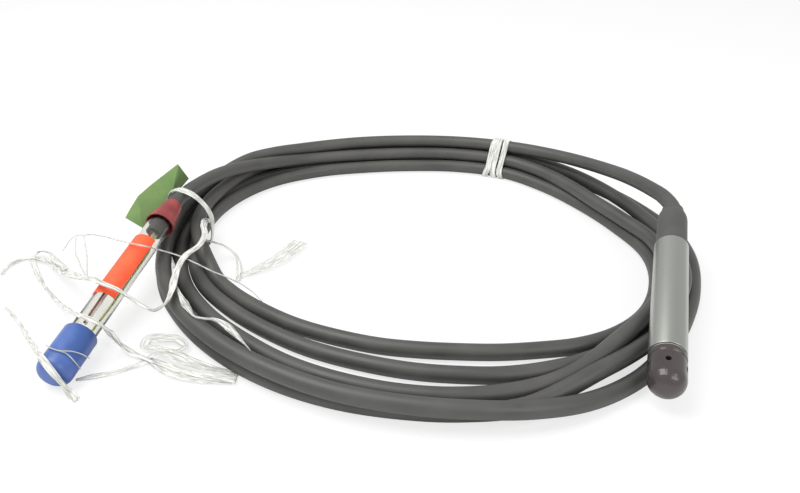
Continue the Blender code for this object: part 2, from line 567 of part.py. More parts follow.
def make_electronics(parent):
    """The circuit board on two slotted discs, its larger components, the wires and the vent tube."""
    middle = (BOARD_START + BOARD_END) / 2
    size = (BOARD_WIDTH, BOARD_THICK, BOARD_LENGTH)
    block("circuit_board", size, (0.0, 0.0, middle), BOARD_GREEN, parent)
    starts = {"front_spacer": BOARD_START + SPACER_INSET,
              "rear_spacer": BOARD_END - SPACER_INSET - SPACER_THICK}
    slot_size = (BOARD_WIDTH + 2 * GAP, BOARD_THICK + 2 * GAP, 2 * SPACER_THICK)
    way_r = VENT_R + GAP
    for name, start in starts.items():
        spacer = disc(name, TUBE_BORE_R - GAP, start, start + SPACER_THICK, NYLON, parent)
        slot = block(name + "_slot", slot_size, (0.0, 0.0, start + SPACER_THICK / 2), NYLON, parent)
        cut(spacer, slot)
        way_end = start + SPACER_THICK + GAP
        way = disc(name + "_vent_way", way_r, start - GAP, way_end, NYLON, parent, DRILL_SIDES)
        way.location = (0.0, VENT_Y, 0.0)
        cut(spacer, way)
    face = BOARD_THICK / 2 + GAP
    for name, size, at, side, look in (
            ("amplifier_chip", (0.0050, 0.0012, 0.0050), 0.0365, 1, CHIP_BLACK),
            ("loop_driver_chip", (0.0040, 0.0014, 0.0055), 0.0450, 1, CHIP_BLACK),
            ("filter_capacitor", (0.0032, 0.0016, 0.0025), 0.0520, 1, TAN),
            ("voltage_regulator", (0.0038, 0.0010, 0.0042), 0.0480, -1, CHIP_BLACK)):
        block(name, size, (0.0, side * (face + size[1] / 2), at), look, parent)
    half = ARRESTER_LENGTH / 2
    arrester = disc("surge_arrester", ARRESTER_R, -half, half, CERAMIC, parent, DRILL_SIDES)
    arrester.rotation_euler = (0.0, math.radians(90), 0.0)
    arrester.location = (0.0, face + ARRESTER_R, ARRESTER_AT)
    stop = CABLE_SEAT - GAP
    vent = ((VENT_Y, HEADER_END + GAP), (VENT_Y, BOARD_END + 0.0010), (VENT_Y / 2, CORE_START + 0.0010),
            (VENT_Y / 2, stop))
    tube("vent_tube", [(0.0, up, along) for up, along in vent], VENT_R, VENT, parent)
    for i, (name, look) in enumerate((("signal_wire_red", WIRE_RED), ("signal_wire_white", WIRE_WHITE),
                                      ("ground_wire_yellow", WIRE_YELLOW))):
        side = (i - 1) * WIRE_PITCH
        tube(name, [(side, 0.0, BOARD_END + GAP), (side, 0.0, BOARD_END + 0.0015),
                    (side * 0.6, 0.0010, CORE_START + 0.0005), (side * 0.6, 0.0010, stop)],
             WIRE_R, look, parent)


def make_gland(parent):
    """The gland: core in the tube, clamp washer and grommet on the cable, and the cap over them."""
    clear = CABLE_R + GAP
    seal_at = (CORE_START + TUBE_LENGTH) / 2
    neck_start = TUBE_LENGTH - GAP
    turned("gland_core", [(CORE_WAY_R, CORE_START), (SPIGOT_R, CORE_START)] + groove(seal_at) + [
        (SPIGOT_R, neck_start), (CORE_NECK_R, neck_start), (CORE_NECK_R, CORE_NECK_END),
        (clear, CORE_NECK_END), (clear, CABLE_SEAT - GAP), (CORE_WAY_R, CABLE_SEAT - GAP)], BRASS, parent)
    seal("rear_o_ring", SPIGOT_R - SEAL_R, seal_at, RUBBER, parent)
    washer = CORE_NECK_END + GAP
    ring("clamp_washer", clear, CORE_NECK_R, washer, washer + CLAMP_WASHER, BRIGHT, parent, PLAIN)
    grommet = washer + CLAMP_WASHER + GAP
    ring("cable_grommet", clear, CORE_NECK_R, grommet, grommet + GROMMET_LENGTH, RUBBER, parent, PLAIN)
    stop = grommet + GROMMET_LENGTH + GAP
    inside = CORE_NECK_R + GAP
    shoulder = GLAND_END - COLLAR_LENGTH
    turned("gland_cap", [
        (inside, GLAND_START), (GLAND_R, GLAND_START), (GLAND_R, shoulder - 0.0075),
        (GLAND_R - 0.0002, shoulder - 0.0055), (GLAND_R - 0.0006, shoulder - 0.0036),
        (GLAND_R - 0.0012, shoulder - 0.0018), (GLAND_R - 0.0019, shoulder), (COLLAR_R, shoulder),
        (COLLAR_R, GLAND_END - 0.0006), (COLLAR_R - 0.0006, GLAND_END), (clear, GLAND_END),
        (clear, stop), (inside, stop)], GLAND_PLASTIC, parent)
    disc("cable_entry", CABLE_R, CABLE_SEAT, GLAND_END - GAP, JACKET, parent)


def make_cable():
    """The lead from the gland to the bundle, the bundle itself and the free end that leaves it."""
    join = 0.28
    lead = [along_probe(GLAND_END), along_probe(GLAND_END + 0.0030)]
    for angle in list(np.arange(LEAD_TURN[0][0], LEAD_END - 2.0, 3.0)) + [LEAD_END - join]:
        radius, height = winding([angle])[0]
        lead.append(wound_place(angle, radius, height))
    tube("cable_lead", lead, CABLE_R, JACKET)
    make_coil()
    tail = []
    for angle in [TAIL_START + join] + list(np.arange(TAIL_START + 3.0, TAIL_START + 19.0, 3.0)):
        radius, height = winding([angle])[0]
        tail.append(wound_place(angle % 360, radius, height))
    tail += [END_START + END_AXIS * (BAND_START - 0.0035), END_START + END_AXIS * (BAND_START - GAP)]
    tube("cable_tail", tail, CABLE_R, JACKET)


def make_free_end(parent):
    """The stripped end: red tape, clear sleeve over the wires, orange label and blue push-on cap."""
    bore = SLEEVE_R - SLEEVE_WALL
    neck = CABLE_R + GAP
    over = SLEEVE_R + GAP
    step = SLEEVE_START - GAP
    turned("red_tape_band", [
        (neck, BAND_START), (neck + BAND_WALL, BAND_START), (over + BAND_WALL, step),
        (over + BAND_FLARE + BAND_WALL, BAND_END), (over + BAND_FLARE, BAND_END),
        (over, SLEEVE_START + GAP), (over - 0.0010, step - BAND_WALL), (neck, BAND_START + 0.0030)],
        RED_TAPE, parent)
    ring("clear_sleeve", bore, SLEEVE_R, SLEEVE_START, SLEEVE_END, CLEAR, parent)
    disc("jacket_end", CABLE_R, BAND_START, JACKET_END, JACKET, parent, PLAIN)
    wires = (("end_wire_red", WIRE_RED, END_WIRE_STOP),
             ("end_wire_white", WIRE_WHITE, END_WIRE_STOP - 0.004),
             ("end_wire_yellow", WIRE_YELLOW, END_WIRE_STOP + 0.002))
    for i, (name, look, stop) in enumerate(wires):
        turn = math.radians(90 + 120 * i)
        out = Vector((math.cos(turn), math.sin(turn), 0.0))
        places = ((0.0018, JACKET_END + GAP), (0.0018, JACKET_END + 0.004),
                  (0.0036, JACKET_END + 0.014), (0.0040, stop - 0.02), (0.0034, stop))
        route = [out * side + Vector((0.0, 0.0, along)) for side, along in places]
        tube(name, route, END_WIRE_R, look, parent)
    vent = ((0.0, 0.0, JACKET_END + GAP), (0.0, 0.0, END_VENT_STOP))
    tube("end_vent_tube", vent, END_VENT_R, VENT, parent)
    make_label(parent)
    inside = SLEEVE_R + GAP
    outside = inside + CAP_WALL
    bend = [math.radians(angle) for angle in (90, 67, 45, 22, 0)]
    corner = [(outside - CAP_ROUND * (1 - math.sin(a)), CAP_END - CAP_ROUND * (1 - math.cos(a)))
              for a in bend]
    inner_round = CAP_ROUND - CAP_WALL
    floor = CAP_END - CAP_WALL
    hollow = [(inside - inner_round * (1 - math.sin(a)), floor - inner_round * (1 - math.cos(a)))
              for a in reversed(bend)]
    mouth = [(inside, CAP_START), (outside - 0.0002, CAP_START), (outside, CAP_START + 0.0004)]
    turned("blue_cap", mouth + corner + [(0.0, CAP_END), (0.0, floor)] + hollow, BLUE, parent)


def make_label(parent):
    """The orange paper label bent round the upper left of the sleeve."""
    inner = SLEEVE_R + GAP
    outer = inner + LABEL_THICK
    bm = bmesh.new()
    corners = []
    for step in range(LABEL_FLATS + 1):
        turn = math.radians(LABEL_MIDDLE + LABEL_SPAN * (step / LABEL_FLATS - 0.5))
        c, s = math.cos(turn), math.sin(turn)
        outline = ((inner, LABEL_START), (outer, LABEL_START), (outer, LABEL_END), (inner, LABEL_END))
        corners.append([bm.verts.new((r * c, r * s, z)) for r, z in outline])
    for here, there in zip(corners, corners[1:]):
        for i in range(4):
            j = (i + 1) % 4
            bm.faces.new((here[i], here[j], there[j], there[i]))
    bm.faces.new(corners[0])
    bm.faces.new(list(reversed(corners[-1])))
    add("orange_label", finish(bm, "orange_label"), ORANGE, parent)


def make_tag():
    """The folded tag: two thin leaves that meet at the fold over the cable."""
    bm = bmesh.new()
    top, low = [bm.verts.new(Vector(p) * MM) for p in TAG_FOLD]
    front = [bm.verts.new(Vector(p) * MM) for p in TAG_FRONT_LEAF]
    back = [bm.verts.new(Vector(p) * MM) for p in TAG_BACK_LEAF]
    bm.faces.new([top, low] + front)
    bm.faces.new([low, top] + list(reversed(back)))
    bmesh.ops.triangulate(bm, faces=bm.faces)
    mesh = bpy.data.meshes.new("green_tag")
    bm.to_mesh(mesh)
    bm.free()
    tag = add("green_tag", mesh, GREEN_PAPER)
    thicken = tag.modifiers.new("paper", "SOLIDIFY")
    thicken.thickness = TAG_THICK
    thicken.offset = 0.0


def make_ties():
    """Twine round the bundle: three turns far off, one by the free end, and its loose ends."""
    for i, angle in enumerate(TIE_ANGLES):
        make_tie("far_tie_%d" % (i + 1), angle, TIE_WIDTH, -5, TAIL_START)
    make_tie("left_tie", LEFT_TIE_ANGLE, LEFT_TIE_WIDTH, 0, TAIL_START + 20)
    for name, route in (("left_tie_long_end", LONG_TAIL), ("left_tie_floor_end", FLOOR_TAIL)):
        tube(name, smooth_route([Vector(p) * MM for p in route], TWINE_STEP), TWINE_R, TWINE)


def main():
    clear_scene()
    probe = empty("probe_axis", RIM, PROBE_AXIS)
    make_housing(probe)
    make_nose(probe)
    make_sensor(probe)
    make_electronics(probe)
    make_gland(probe)
    make_cable()
    make_free_end(empty("free_end_axis", END_START, END_AXIS))
    make_tag()
    make_ties()


main()
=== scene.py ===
"""Looks of a submersible level transmitter that lies on its own wound cable.

Metres, in the row frame.  Distances along the probe and along the free end run towards the cable
and towards the cap.
"""
import math

import bmesh
import bpy
import numpy as np
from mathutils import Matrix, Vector


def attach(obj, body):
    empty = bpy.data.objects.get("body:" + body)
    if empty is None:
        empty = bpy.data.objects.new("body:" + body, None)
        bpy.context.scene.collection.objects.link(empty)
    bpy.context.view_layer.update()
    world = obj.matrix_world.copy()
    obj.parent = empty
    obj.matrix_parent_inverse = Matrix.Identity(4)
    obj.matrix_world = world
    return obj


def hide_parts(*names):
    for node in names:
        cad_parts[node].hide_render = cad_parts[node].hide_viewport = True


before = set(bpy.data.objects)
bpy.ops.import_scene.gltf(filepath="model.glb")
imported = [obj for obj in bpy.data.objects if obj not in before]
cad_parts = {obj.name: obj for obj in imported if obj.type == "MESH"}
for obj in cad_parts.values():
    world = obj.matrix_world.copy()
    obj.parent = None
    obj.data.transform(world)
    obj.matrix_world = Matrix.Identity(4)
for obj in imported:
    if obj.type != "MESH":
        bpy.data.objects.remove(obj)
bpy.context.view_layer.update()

ROOT = "probe_and_cable"
MM = 0.001
GAP = 0.0003

# Camera
CAMERA_AT = (-0.0384, -0.3327, 0.2272)
CAMERA_TURN = (60.0, 0.0, 17.3)
CAMERA_LENS = 32.8

# Floor and lights
FLOOR_HALF = 3.0
FLOOR_DROP = 0.0001
FLOOR_GLOW = 0.72            # share of plain light in what the camera sees of the floor
SKY_STRENGTH = 0.75
LAMPS = (("key_light", (-0.55, -0.15, 0.95), 0.7, 9.0), ("fill_light", (0.65, -0.55, 0.75), 0.6, 4.0))
LAMPS_LOOK_AT = (-0.14, 0.0, 0.0)

# Cable and its hand-wound route: winding angle in degrees, radius and height of its centre in millimetres
CABLE_R = 0.0043
COIL_CENTRE = np.array((-0.1432, 0.0306, 0.0))
COIL_ZERO = 17.3
TAIL_START = 150.0 + 5 * 360
TAIL_TURN = 18.5             # from there to where the cable heads for its free end
LEAD_TURN = (
    (-0.5, 148.3, 37.8), (3.3, 147.4, 38.0), (8.3, 145.5, 37.0), (18, 143.8, 34.0), (28, 144.9, 29.5),
    (44.5, 146.7, 23.8), (58, 146.9, 21.0),
    (75, 144.4, 19.6), (90, 142.5, 19.4), (105, 144.2, 19.4), (123, 150.4, 19.6), (130, 153.2, 20.5),
    (138, 156.4, 20.4), (144, 158.0, 17.8), (150, 158.4, 14.8), (158, 157.0, 13.2), (165, 153.6, 12.9),
    (180, 147.0, 12.6), (195, 143.2, 12.6), (210, 139.5, 12.6), (225, 136.6, 12.6), (240, 136.2, 12.6),
    (255, 138.3, 12.4), (266, 140.8, 12.2), (278, 145.0, 11.6), (290, 150.4, 9.6), (299, 152.8, 6.6),
    (306, 153.6, 4.6), (313, 154.8, 4.3), (322, 155.0, 4.3), (332, 155.8, 4.3), (345, 159.2, 4.3))
SECOND_TURN = (
    (0, 164.6, 4.3), (6, 165.6, 4.3), (15, 163.6, 4.3), (30, 161.0, 4.3), (45, 158.5, 4.3),
    (60, 156.4, 4.3), (75, 154.0, 4.3), (90, 152.3, 4.3), (105, 154.4, 4.3), (120, 159.2, 4.3),
    (135, 162.0, 4.3), (150, 161.0, 4.3), (165, 155.4, 4.3), (180, 148.6, 4.3), (195, 143.5, 4.3),
    (210, 138.6, 4.3), (225, 135.6, 4.3), (240, 134.4, 4.3), (255, 134.8, 4.3), (266, 136.0, 4.3),
    (278, 139.0, 4.3), (290, 142.2, 4.6), (299, 142.6, 8.0), (305, 143.6, 10.6), (311, 144.8, 10.8),
    (318, 146.0, 9.2), (325, 147.8, 7.6), (330, 149.0, 9.0), (336, 150.6, 11.6), (345, 153.2, 12.2))
THIRD_TURN = (
    (0, 152.0, 12.4), (12, 149.6, 12.2), (24, 149.4, 11.9), (45, 151.4, 11.9), (60, 151.4, 11.9),
    (75, 149.2, 11.9), (90, 147.0, 11.9), (105, 148.8, 11.9), (123, 154.6, 11.9), (135, 155.5, 12.4),
    (142, 152.5, 12.9), (150, 148.5, 12.7), (160, 143.0, 12.9), (170, 136.0, 12.9), (180, 127.2, 12.0),
    (188, 120.2, 8.4), (195, 115.2, 4.6), (202, 110.0, 4.3), (215, 101.8, 4.3), (231, 95.6, 4.3),
    (245, 92.4, 4.3), (259, 92.2, 4.3), (271, 93.5, 4.3), (283, 97.5, 4.3), (293, 103.6, 4.3),
    (303, 111.6, 4.3), (312, 121.2, 4.3), (321, 129.6, 4.3), (330, 135.6, 4.3), (345, 140.2, 4.3))
FOURTH_TURN = (
    (0, 140.8, 4.3), (15, 134.8, 4.3), (30, 132.2, 4.3), (45, 133.8, 4.3), (60, 136.6, 4.3),
    (75, 133.8, 4.3), (90, 130.8, 4.3), (105, 132.2, 4.3), (120, 138.2, 4.3), (135, 143.6, 4.3),
    (150, 143.0, 4.3), (165, 138.0, 4.3), (180, 131.2, 4.3), (195, 123.8, 4.3), (210, 114.8, 4.3),
    (225, 108.8, 4.3), (240, 106.4, 4.3), (255, 106.4, 4.3), (271, 110.4, 4.3), (280, 114.0, 4.3),
    (289, 119.1, 4.3), (298, 124.1, 4.3), (307, 129.5, 4.3), (314, 133.4, 4.3), (321, 138.2, 4.3),
    (330, 144.4, 4.3), (345, 149.0, 4.3))
FIFTH_TURN = (
    (0, 149.6, 4.3), (15, 144.0, 4.3), (30, 142.2, 4.3), (45, 143.6, 4.3), (60, 146.4, 4.3),
    (75, 143.8, 4.3), (90, 141.2, 4.3), (105, 142.6, 4.3), (120, 148.6, 4.3), (135, 152.8, 4.3),
    (150, 151.8, 4.3), (165, 146.6, 4.3), (180, 139.9, 4.3), (195, 133.2, 4.3), (210, 126.4, 4.3),
    (225, 121.8, 4.3), (240, 121.2, 4.3), (255, 122.4, 4.3), (266, 124.8, 4.3), (278, 128.2, 4.3),
    (290, 131.4, 4.3), (298, 133.8, 5.2), (304, 135.6, 7.6), (309, 136.2, 10.0), (314, 136.6, 12.0),
    (320, 137.2, 12.1), (330, 139.8, 11.6), (345, 144.2, 11.9))
LAST_TURN = (
    (0, 143.2, 12.4), (12, 134.6, 12.9), (24, 130.8, 12.9), (36, 133.6, 12.4), (48, 138.6, 11.9),
    (60, 141.4, 11.9), (75, 138.8, 11.9), (90, 136.0, 11.9), (105, 137.6, 11.9), (123, 145.2, 13.1),
    (135, 146.5, 17.8), (142, 146.8, 21.0), (150, 147.4, 24.1), (160, 146.6, 26.6), (166, 145.6, 28.1),
    (170, 144.6, 28.9))
TURNS = (LEAD_TURN, SECOND_TURN, THIRD_TURN, FOURTH_TURN, FIFTH_TURN, LAST_TURN)
CABLE_STEP = 0.0045          # between the rings of its mesh
CABLE_SIDES = 24
GLAND_STRAIGHT = 0.0030      # straight stretch out of the gland
BAND_STRAIGHT = 0.0035       # straight stretch before the taped band

# Twine: winding angles of the far ties in degrees, and its two loose ends in millimetres
TWINE_WIDTH = 0.0042
TIE_ANGLES = (60.4, 62.6, 64.8)
TIE_SLANTS = (0.5, 0.3, -0.8)
TIE_LIFT = 0.0006            # of a tie's middle off the cable
TIE_LIFT_STEP = 0.0002
TIE_FLOOR = 0.0004           # lowest height of a tie's middle
LONG_TAIL = (
    (-272.4, 20.0, 10.0), (-270.0, 10.0, 17.0), (-263.5, -3.0, 20.5), (-257.1, -12.7, 20.6),
    (-255.1, -21.6, 20.0), (-255.6, -35.3, 20.5), (-252.9, -48.0, 20.2), (-248.1, -59.4, 20.2),
    (-243.2, -69.8, 19.8), (-241.7, -77.9, 18.6), (-244.5, -83.0, 17.5), (-251.2, -82.9, 18.5),
    (-258.2, -83.2, 22.6), (-263.6, -84.4, 27.0), (-270.4, -84.2, 28.6), (-279.5, -80.8, 27.4),
    (-292.0, -74.6, 22.5), (-313.4, -62.8, 14.0), (-333.0, -50.8, 7.0), (-352.5, -39.8, 2.6),
    (-366.6, -40.6, 1.4), (-369.5, -49.6, 1.3), (-366.5, -58.6, 1.3))
FLOOR_TAIL = (
    (-190.9, -102.4, 1.3), (-199.1, -103.8, 1.3), (-209.6, -104.0, 1.3), (-220.7, -103.6, 1.3),
    (-232.4, -101.8, 1.3), (-240.9, -100.8, 1.3), (-249.2, -99.3, 1.6), (-255.0, -99.2, 4.5),
    (-257.0, -101.4, 11.5), (-257.8, -104.3, 18.5), (-260.6, -106.0, 22.6), (-265.2, -105.6, 23.4),
    (-271.6, -103.9, 22.6), (-286.0, -94.3, 15.5), (-302.2, -82.9, 8.0), (-318.4, -71.7, 2.6),
    (-330.8, -63.7, 1.4), (-341.1, -56.4, 1.3))

RIBBON_SIDES = 24
RIBBON_WAVE = 0.030          # run in which its pleats shift by one
RIBBON_FOLD = 0.3            # of a ribbon's thickness
RIBBON_STEP = 0.0012
THREAD_STEP = 0.0006
STRAIGHT = ((0.0, 0.0), (1.0, 0.0))

# Loose strands of twine that only the looks have, in millimetres
LONG_THREAD = (
    (-349.5, -26.8, 2.0), (-347.8, -19.9, 7.0), (-334.0, -21.6, 13.0), (-313.2, -30.2, 20.0),
    (-291.6, -42.0, 27.0), (-277.3, -49.1, 31.4), (-270.0, -48.9, 31.0), (-267.5, -41.3, 25.0),
    (-261.0, -36.1, 20.0), (-247.8, -39.2, 19.0), (-234.3, -43.6, 18.6), (-220.7, -47.4, 18.4),
    (-207.0, -53.4, 18.2), (-196.6, -60.5, 18.0))
SHORT_THREAD_LEFT = (
    (-342.2, -21.5, 9.5), (-334.9, -31.8, 8.0), (-318.5, -48.0, 12.0), (-290.2, -74.4, 22.0))
SHORT_THREAD_RIGHT = ((-335.3, -22.1, 12.0), (-320.3, -39.2, 12.0), (-292.1, -72.0, 22.0))
INNER_LOOP = (
    (-256.3, -12.5, 17.0), (-256.0, -5.1, 12.0), (-252.1, -1.0, 8.0), (-245.7, -2.3, 5.0),
    (-239.1, -8.9, 3.0), (-234.7, -16.9, 1.6), (-232.4, -24.2, 1.0))
FRAYED_FAN = (
    (-235.0, -20.6, 1.0), (-230.1, -15.1, 1.4), (-224.1, -6.5, 2.2), (-218.3, 6.0, 3.0), (-215.7, 26.5, 2.0))
UPPER_LEAF = ((-263.5, -37.4, 19.0), (-256.2, -47.3, 19.0), (-249.7, -57.3, 18.6), (-244.7, -66.2, 18.2))
LOWER_LEAF = (
    (-243.8, -63.5, 19.2), (-237.5, -70.1, 18.4), (-229.0, -77.4, 18.2), (-221.3, -82.8, 18.0),
    (-216.7, -82.9, 18.2), (-211.3, -82.7, 18.6), (-204.9, -84.3, 18.4), (-197.1, -88.9, 18.0),
    (-189.9, -93.7, 17.8), (-183.3, -98.4, 17.6))
FLOOR_STRIP = (
    (-238.4, -101.1, 1.2), (-242.1, -105.8, 0.8), (-246.7, -110.5, 0.6), (-252.9, -115.9, 0.6),
    (-258.7, -120.0, 0.6), (-263.7, -123.8, 0.6))
FAR_FOLD = (
    (-318.8, -58.3, 13.0), (-337.4, -45.2, 9.0), (-352.3, -36.1, 6.0), (-361.3, -34.2, 3.0),
    (-359.8, -40.3, 1.5), (-351.0, -48.6, 1.0), (-339.9, -57.5, 0.9))
BUNCH_BACK = (
    (-191.8, -98.9, 1.0), (-204.7, -98.3, 2.2), (-217.6, -96.5, 3.2), (-229.7, -94.8, 3.4),
    (-239.8, -94.4, 2.6), (-247.5, -91.8, 1.4), (-248.0, -88.3, 2.2), (-240.2, -86.5, 3.6),
    (-232.5, -85.1, 3.4), (-227.2, -87.4, 2.2), (-228.6, -93.1, 3.0), (-234.5, -95.2, 3.8))
BUNCH_MIDDLE = (
    (-239.9, -101.3, 1.6), (-236.0, -97.3, 3.8), (-227.6, -97.9, 4.4), (-217.0, -99.2, 3.6),
    (-205.0, -99.6, 2.6), (-193.3, -97.8, 1.6))
BUNCH_FRONT = (
    (-238.6, -101.7, 1.0), (-228.5, -105.2, 1.2), (-217.0, -107.0, 1.2), (-204.6, -106.1, 1.2),
    (-192.5, -103.4, 0.8))
OVER_CAP = (
    (-339.5, -85.3, 0.6), (-323.4, -93.8, 0.6), (-306.8, -105.2, 1.5), (-291.0, -116.5, 7.0),
    (-279.5, -126.6, 15.2), (-271.6, -131.6, 17.7), (-266.6, -134.0, 16.0), (-263.3, -134.6, 12.1),
    (-261.4, -134.0, 7.4), (-259.6, -133.2, 2.2), (-254.1, -135.8, 0.6))
CAP_THREAD = (
    (-277.4, -122.2, 17.0), (-271.0, -125.6, 19.1), (-266.4, -125.6, 18.7), (-263.0, -122.6, 17.0),
    (-260.6, -119.4, 13.4), (-259.9, -116.2, 8.6))
CAP_BRANCH = (
    (-267.3, -125.7, 18.9), (-263.5, -125.0, 17.2), (-260.6, -124.7, 13.5), (-260.0, -123.0, 7.4))
OVER_CAP_FACING = (-0.2, -0.5, 0.8)
CAP_FACING = (0.2, -0.5, 0.8)

# Left tie: winding angle in degrees, radius and height in millimetres, once round the bundle
LEFT_TIE = (
    (169.5, 145.6, 34.2), (168.2, 151.6, 30.6), (167.2, 157.0, 22.0), (166.6, 160.4, 13.0),
    (166.4, 160.0, 5.0), (167.0, 156.0, 0.6), (169.0, 144.0, 0.5), (171.5, 132.6, 0.6),
    (173.4, 126.2, 4.0), (172.4, 124.6, 11.0), (171.4, 125.4, 19.5), (171.0, 129.4, 27.0),
    (170.4, 136.6, 32.6))
LEFT_TIE_MIDDLE = (143.0, 15.0)
LEFT_TIE_SPREAD_BY = 12.0    # height by which its second layer lies fully over the first
LEFT_TIE_LAYERS = (          # name, lift in millimetres, shift in degrees, width
    ("left_tie_finish", 0.0, 0.0, 0.0052), ("left_tie_outer_layer", 0.9, 0.9, 0.0034))

# Probe
ROUND_SIDES = 96
TUBE_SIDES = 128
RIM = Vector((0.0, -0.0446, 0.01765))
PROBE_TILT = 9.8
PROBE_AXIS = Vector((0.0, math.cos(math.radians(PROBE_TILT)), math.sin(math.radians(PROBE_TILT))))
TUBE_R = 0.00875
TUBE_LENGTH = 0.0792
TUBE_SOCKET_R = 0.00745
TUBE_BORE_R = 0.0066
TUBE_EDGE = 0.0004
NOSE_SOCKET = 0.0182         # depth of the wide bore at the nose end
GLAND_SOCKET = 0.0090        # depth of the wide bore at the cable end
GLAND_START = TUBE_LENGTH + GAP
GLAND_END = TUBE_LENGTH + 0.0340
GLAND_R = 0.0080
COLLAR_R = 0.0059
COLLAR_LENGTH = 0.0029
CORE_NECK_R = 0.0062
GLAND_STOP = 0.1053          # inner shoulder of the gland's cap
GLAND_SHOULDER = (           # inwards from its side, and back from its shoulder
    (0.0, 0.0075), (0.0002, 0.0055), (0.0006, 0.0036), (0.0012, 0.0018), (0.0019, 0.0))

# Free end
END_START = Vector((-0.2820, -0.0167, 0.0275))
END_TIP = Vector((-0.2689, -0.1290, 0.0089))
END_AXIS = (END_TIP - END_START).normalized()
SLEEVE_R = 0.0066
SLEEVE_WALL = 0.0006
SLEEVE_EDGE = 0.0002
SLEEVE_START = -0.0020
SLEEVE_END = 0.1100
BAND_START = -0.0165
BAND_END = 0.0028
BAND_WALL = 0.0006
BAND_FLARE = 0.0008
BAND_STEP = 0.0010           # where its inside narrows from the sleeve to the cable
BAND_NECK = 0.0030
JACKET_END = 0.0115
CAP_WALL = 0.0017
CAP_START = 0.0915
CAP_END = 0.1190
CAP_ROUND = 0.0050


# Curves and grids

def smooth_through(knots, wanted):
    """Cubic curve through rows of (position, values...), its slope at each row the mean of its neighbours'."""
    rows = np.array(knots, dtype=float)
    at, values = rows[:, 0], rows[:, 1:]
    steps = np.diff(at)[:, None]
    slopes = np.diff(values, axis=0) / steps
    tangents = np.vstack([slopes[:1], (slopes[:-1] * steps[1:] + slopes[1:] * steps[:-1])
                          / (steps[1:] + steps[:-1]), slopes[-1:]])
    wanted = np.asarray(wanted, dtype=float)
    i = np.clip(np.searchsorted(at, wanted, side="right") - 1, 0, len(at) - 2)
    h = steps[i]
    t = ((wanted - at[i])[:, None]) / h
    return ((2 * t**3 - 3 * t**2 + 1) * values[i] + (t**3 - 2 * t**2 + t) * h * tangents[i]
            + (3 * t**2 - 2 * t**3) * values[i + 1] + (t**3 - t**2) * h * tangents[i + 1])


def smooth_route(points, spacing):
    """Points about a spacing apart on a smooth curve through given places."""
    places = np.array([tuple(p) for p in points], dtype=float)
    run = np.concatenate([[0.0], np.cumsum(np.linalg.norm(np.diff(places, axis=0), axis=1))])
    count = max(2, round(run[-1] / spacing))
    return smooth_through(np.column_stack([run, places]), np.linspace(0.0, run[-1], count + 1))


def winding(angle):
    """Radius and height, in metres, of the wound cable's centre at winding angles in degrees."""
    knots = [(row[0] + 360 * turn, row[1] * MM, row[2] * MM)
             for turn, rows in enumerate(TURNS) for row in rows]
    return smooth_through(knots, angle)


def wound_places(angles, radii, heights):
    """Points about the coil's centre, as rows."""
    turn = np.radians(np.asarray(angles) + COIL_ZERO)
    return COIL_CENTRE + np.column_stack([radii * np.cos(turn), radii * np.sin(turn), heights])


def unit(v):
    return v / np.linalg.norm(v, axis=-1, keepdims=True)


def along(path):
    """Unit tangents and running length of a path given as rows of points."""
    tangent = np.gradient(path, axis=0)
    run = np.concatenate([[0.0], np.cumsum(np.linalg.norm(np.diff(path, axis=0), axis=1))])
    return unit(tangent), run


def carried(path, start):
    """Two unit normals at each point of a path, turned as little as possible from one point to the next."""
    tangent, _ = along(path)
    first = np.empty_like(path)
    side = np.asarray(start, dtype=float)
    for i, t in enumerate(tangent):
        side = side - t * np.dot(side, t)
        side = side / np.linalg.norm(side)
        first[i] = side
    return first, np.cross(tangent, first)


def grid_mesh(name, points, closed_u=False, closed_v=False, cap_ends=False, shade=True):
    """A surface from a grid of points: rows along u, columns along v, joined into quads."""
    points = np.asarray(points, dtype=float)
    nu, nv = points.shape[:2]
    index = np.arange(nu * nv).reshape(nu, nv)
    a = index if closed_u else index[:-1]
    b = np.roll(index, -1, axis=0) if closed_u else index[1:]
    if closed_v:
        quads = np.stack([a, np.roll(a, -1, axis=1), np.roll(b, -1, axis=1), b], axis=-1)
    else:
        quads = np.stack([a[:, :-1], a[:, 1:], b[:, 1:], b[:, :-1]], axis=-1)
    faces = quads.reshape(-1, 4).tolist()
    if cap_ends:
        faces.append(index[0][::-1].tolist())
        faces.append(index[-1].tolist())
    mesh = bpy.data.meshes.new(name)
    mesh.from_pydata(points.reshape(-1, 3).tolist(), [], faces)
    mesh.validate()
    mesh.update()
    if shade:
        mesh.shade_smooth()
    made = bpy.data.objects.new(name, mesh)
    bpy.context.collection.objects.link(made)
    return made


def axis_frame(origin, axis):
    """Matrix whose +Z lies along an axis and whose +Y points as far up as it can."""
    place = axis.to_track_quat("Z", "Y").to_matrix().to_4x4()
    place.translation = origin
    return np.array(place)


PROBE = axis_frame(RIM, PROBE_AXIS)
END = axis_frame(END_START, END_AXIS)


def placed(matrix, points):
    """Points of a local frame in the row frame."""
    return np.asarray(points) @ matrix[:3, :3].T + matrix[:3, 3]


def lathe(name, outline, matrix, sides=ROUND_SIDES, closed=True):
    """A closed outline of (radius, distance) points turned once about the frame's Z axis."""
    rows = np.array(outline, dtype=float)
    turn = np.linspace(0.0, 2 * math.pi, sides, endpoint=False)
    points = np.empty((len(rows), sides, 3))
    points[..., 0] = rows[:, :1] * np.cos(turn)
    points[..., 1] = rows[:, :1] * np.sin(turn)
    points[..., 2] = rows[:, 1:2]
    made = grid_mesh(name, placed(matrix, points), closed_u=closed, closed_v=True)
    clean(made)
    return made


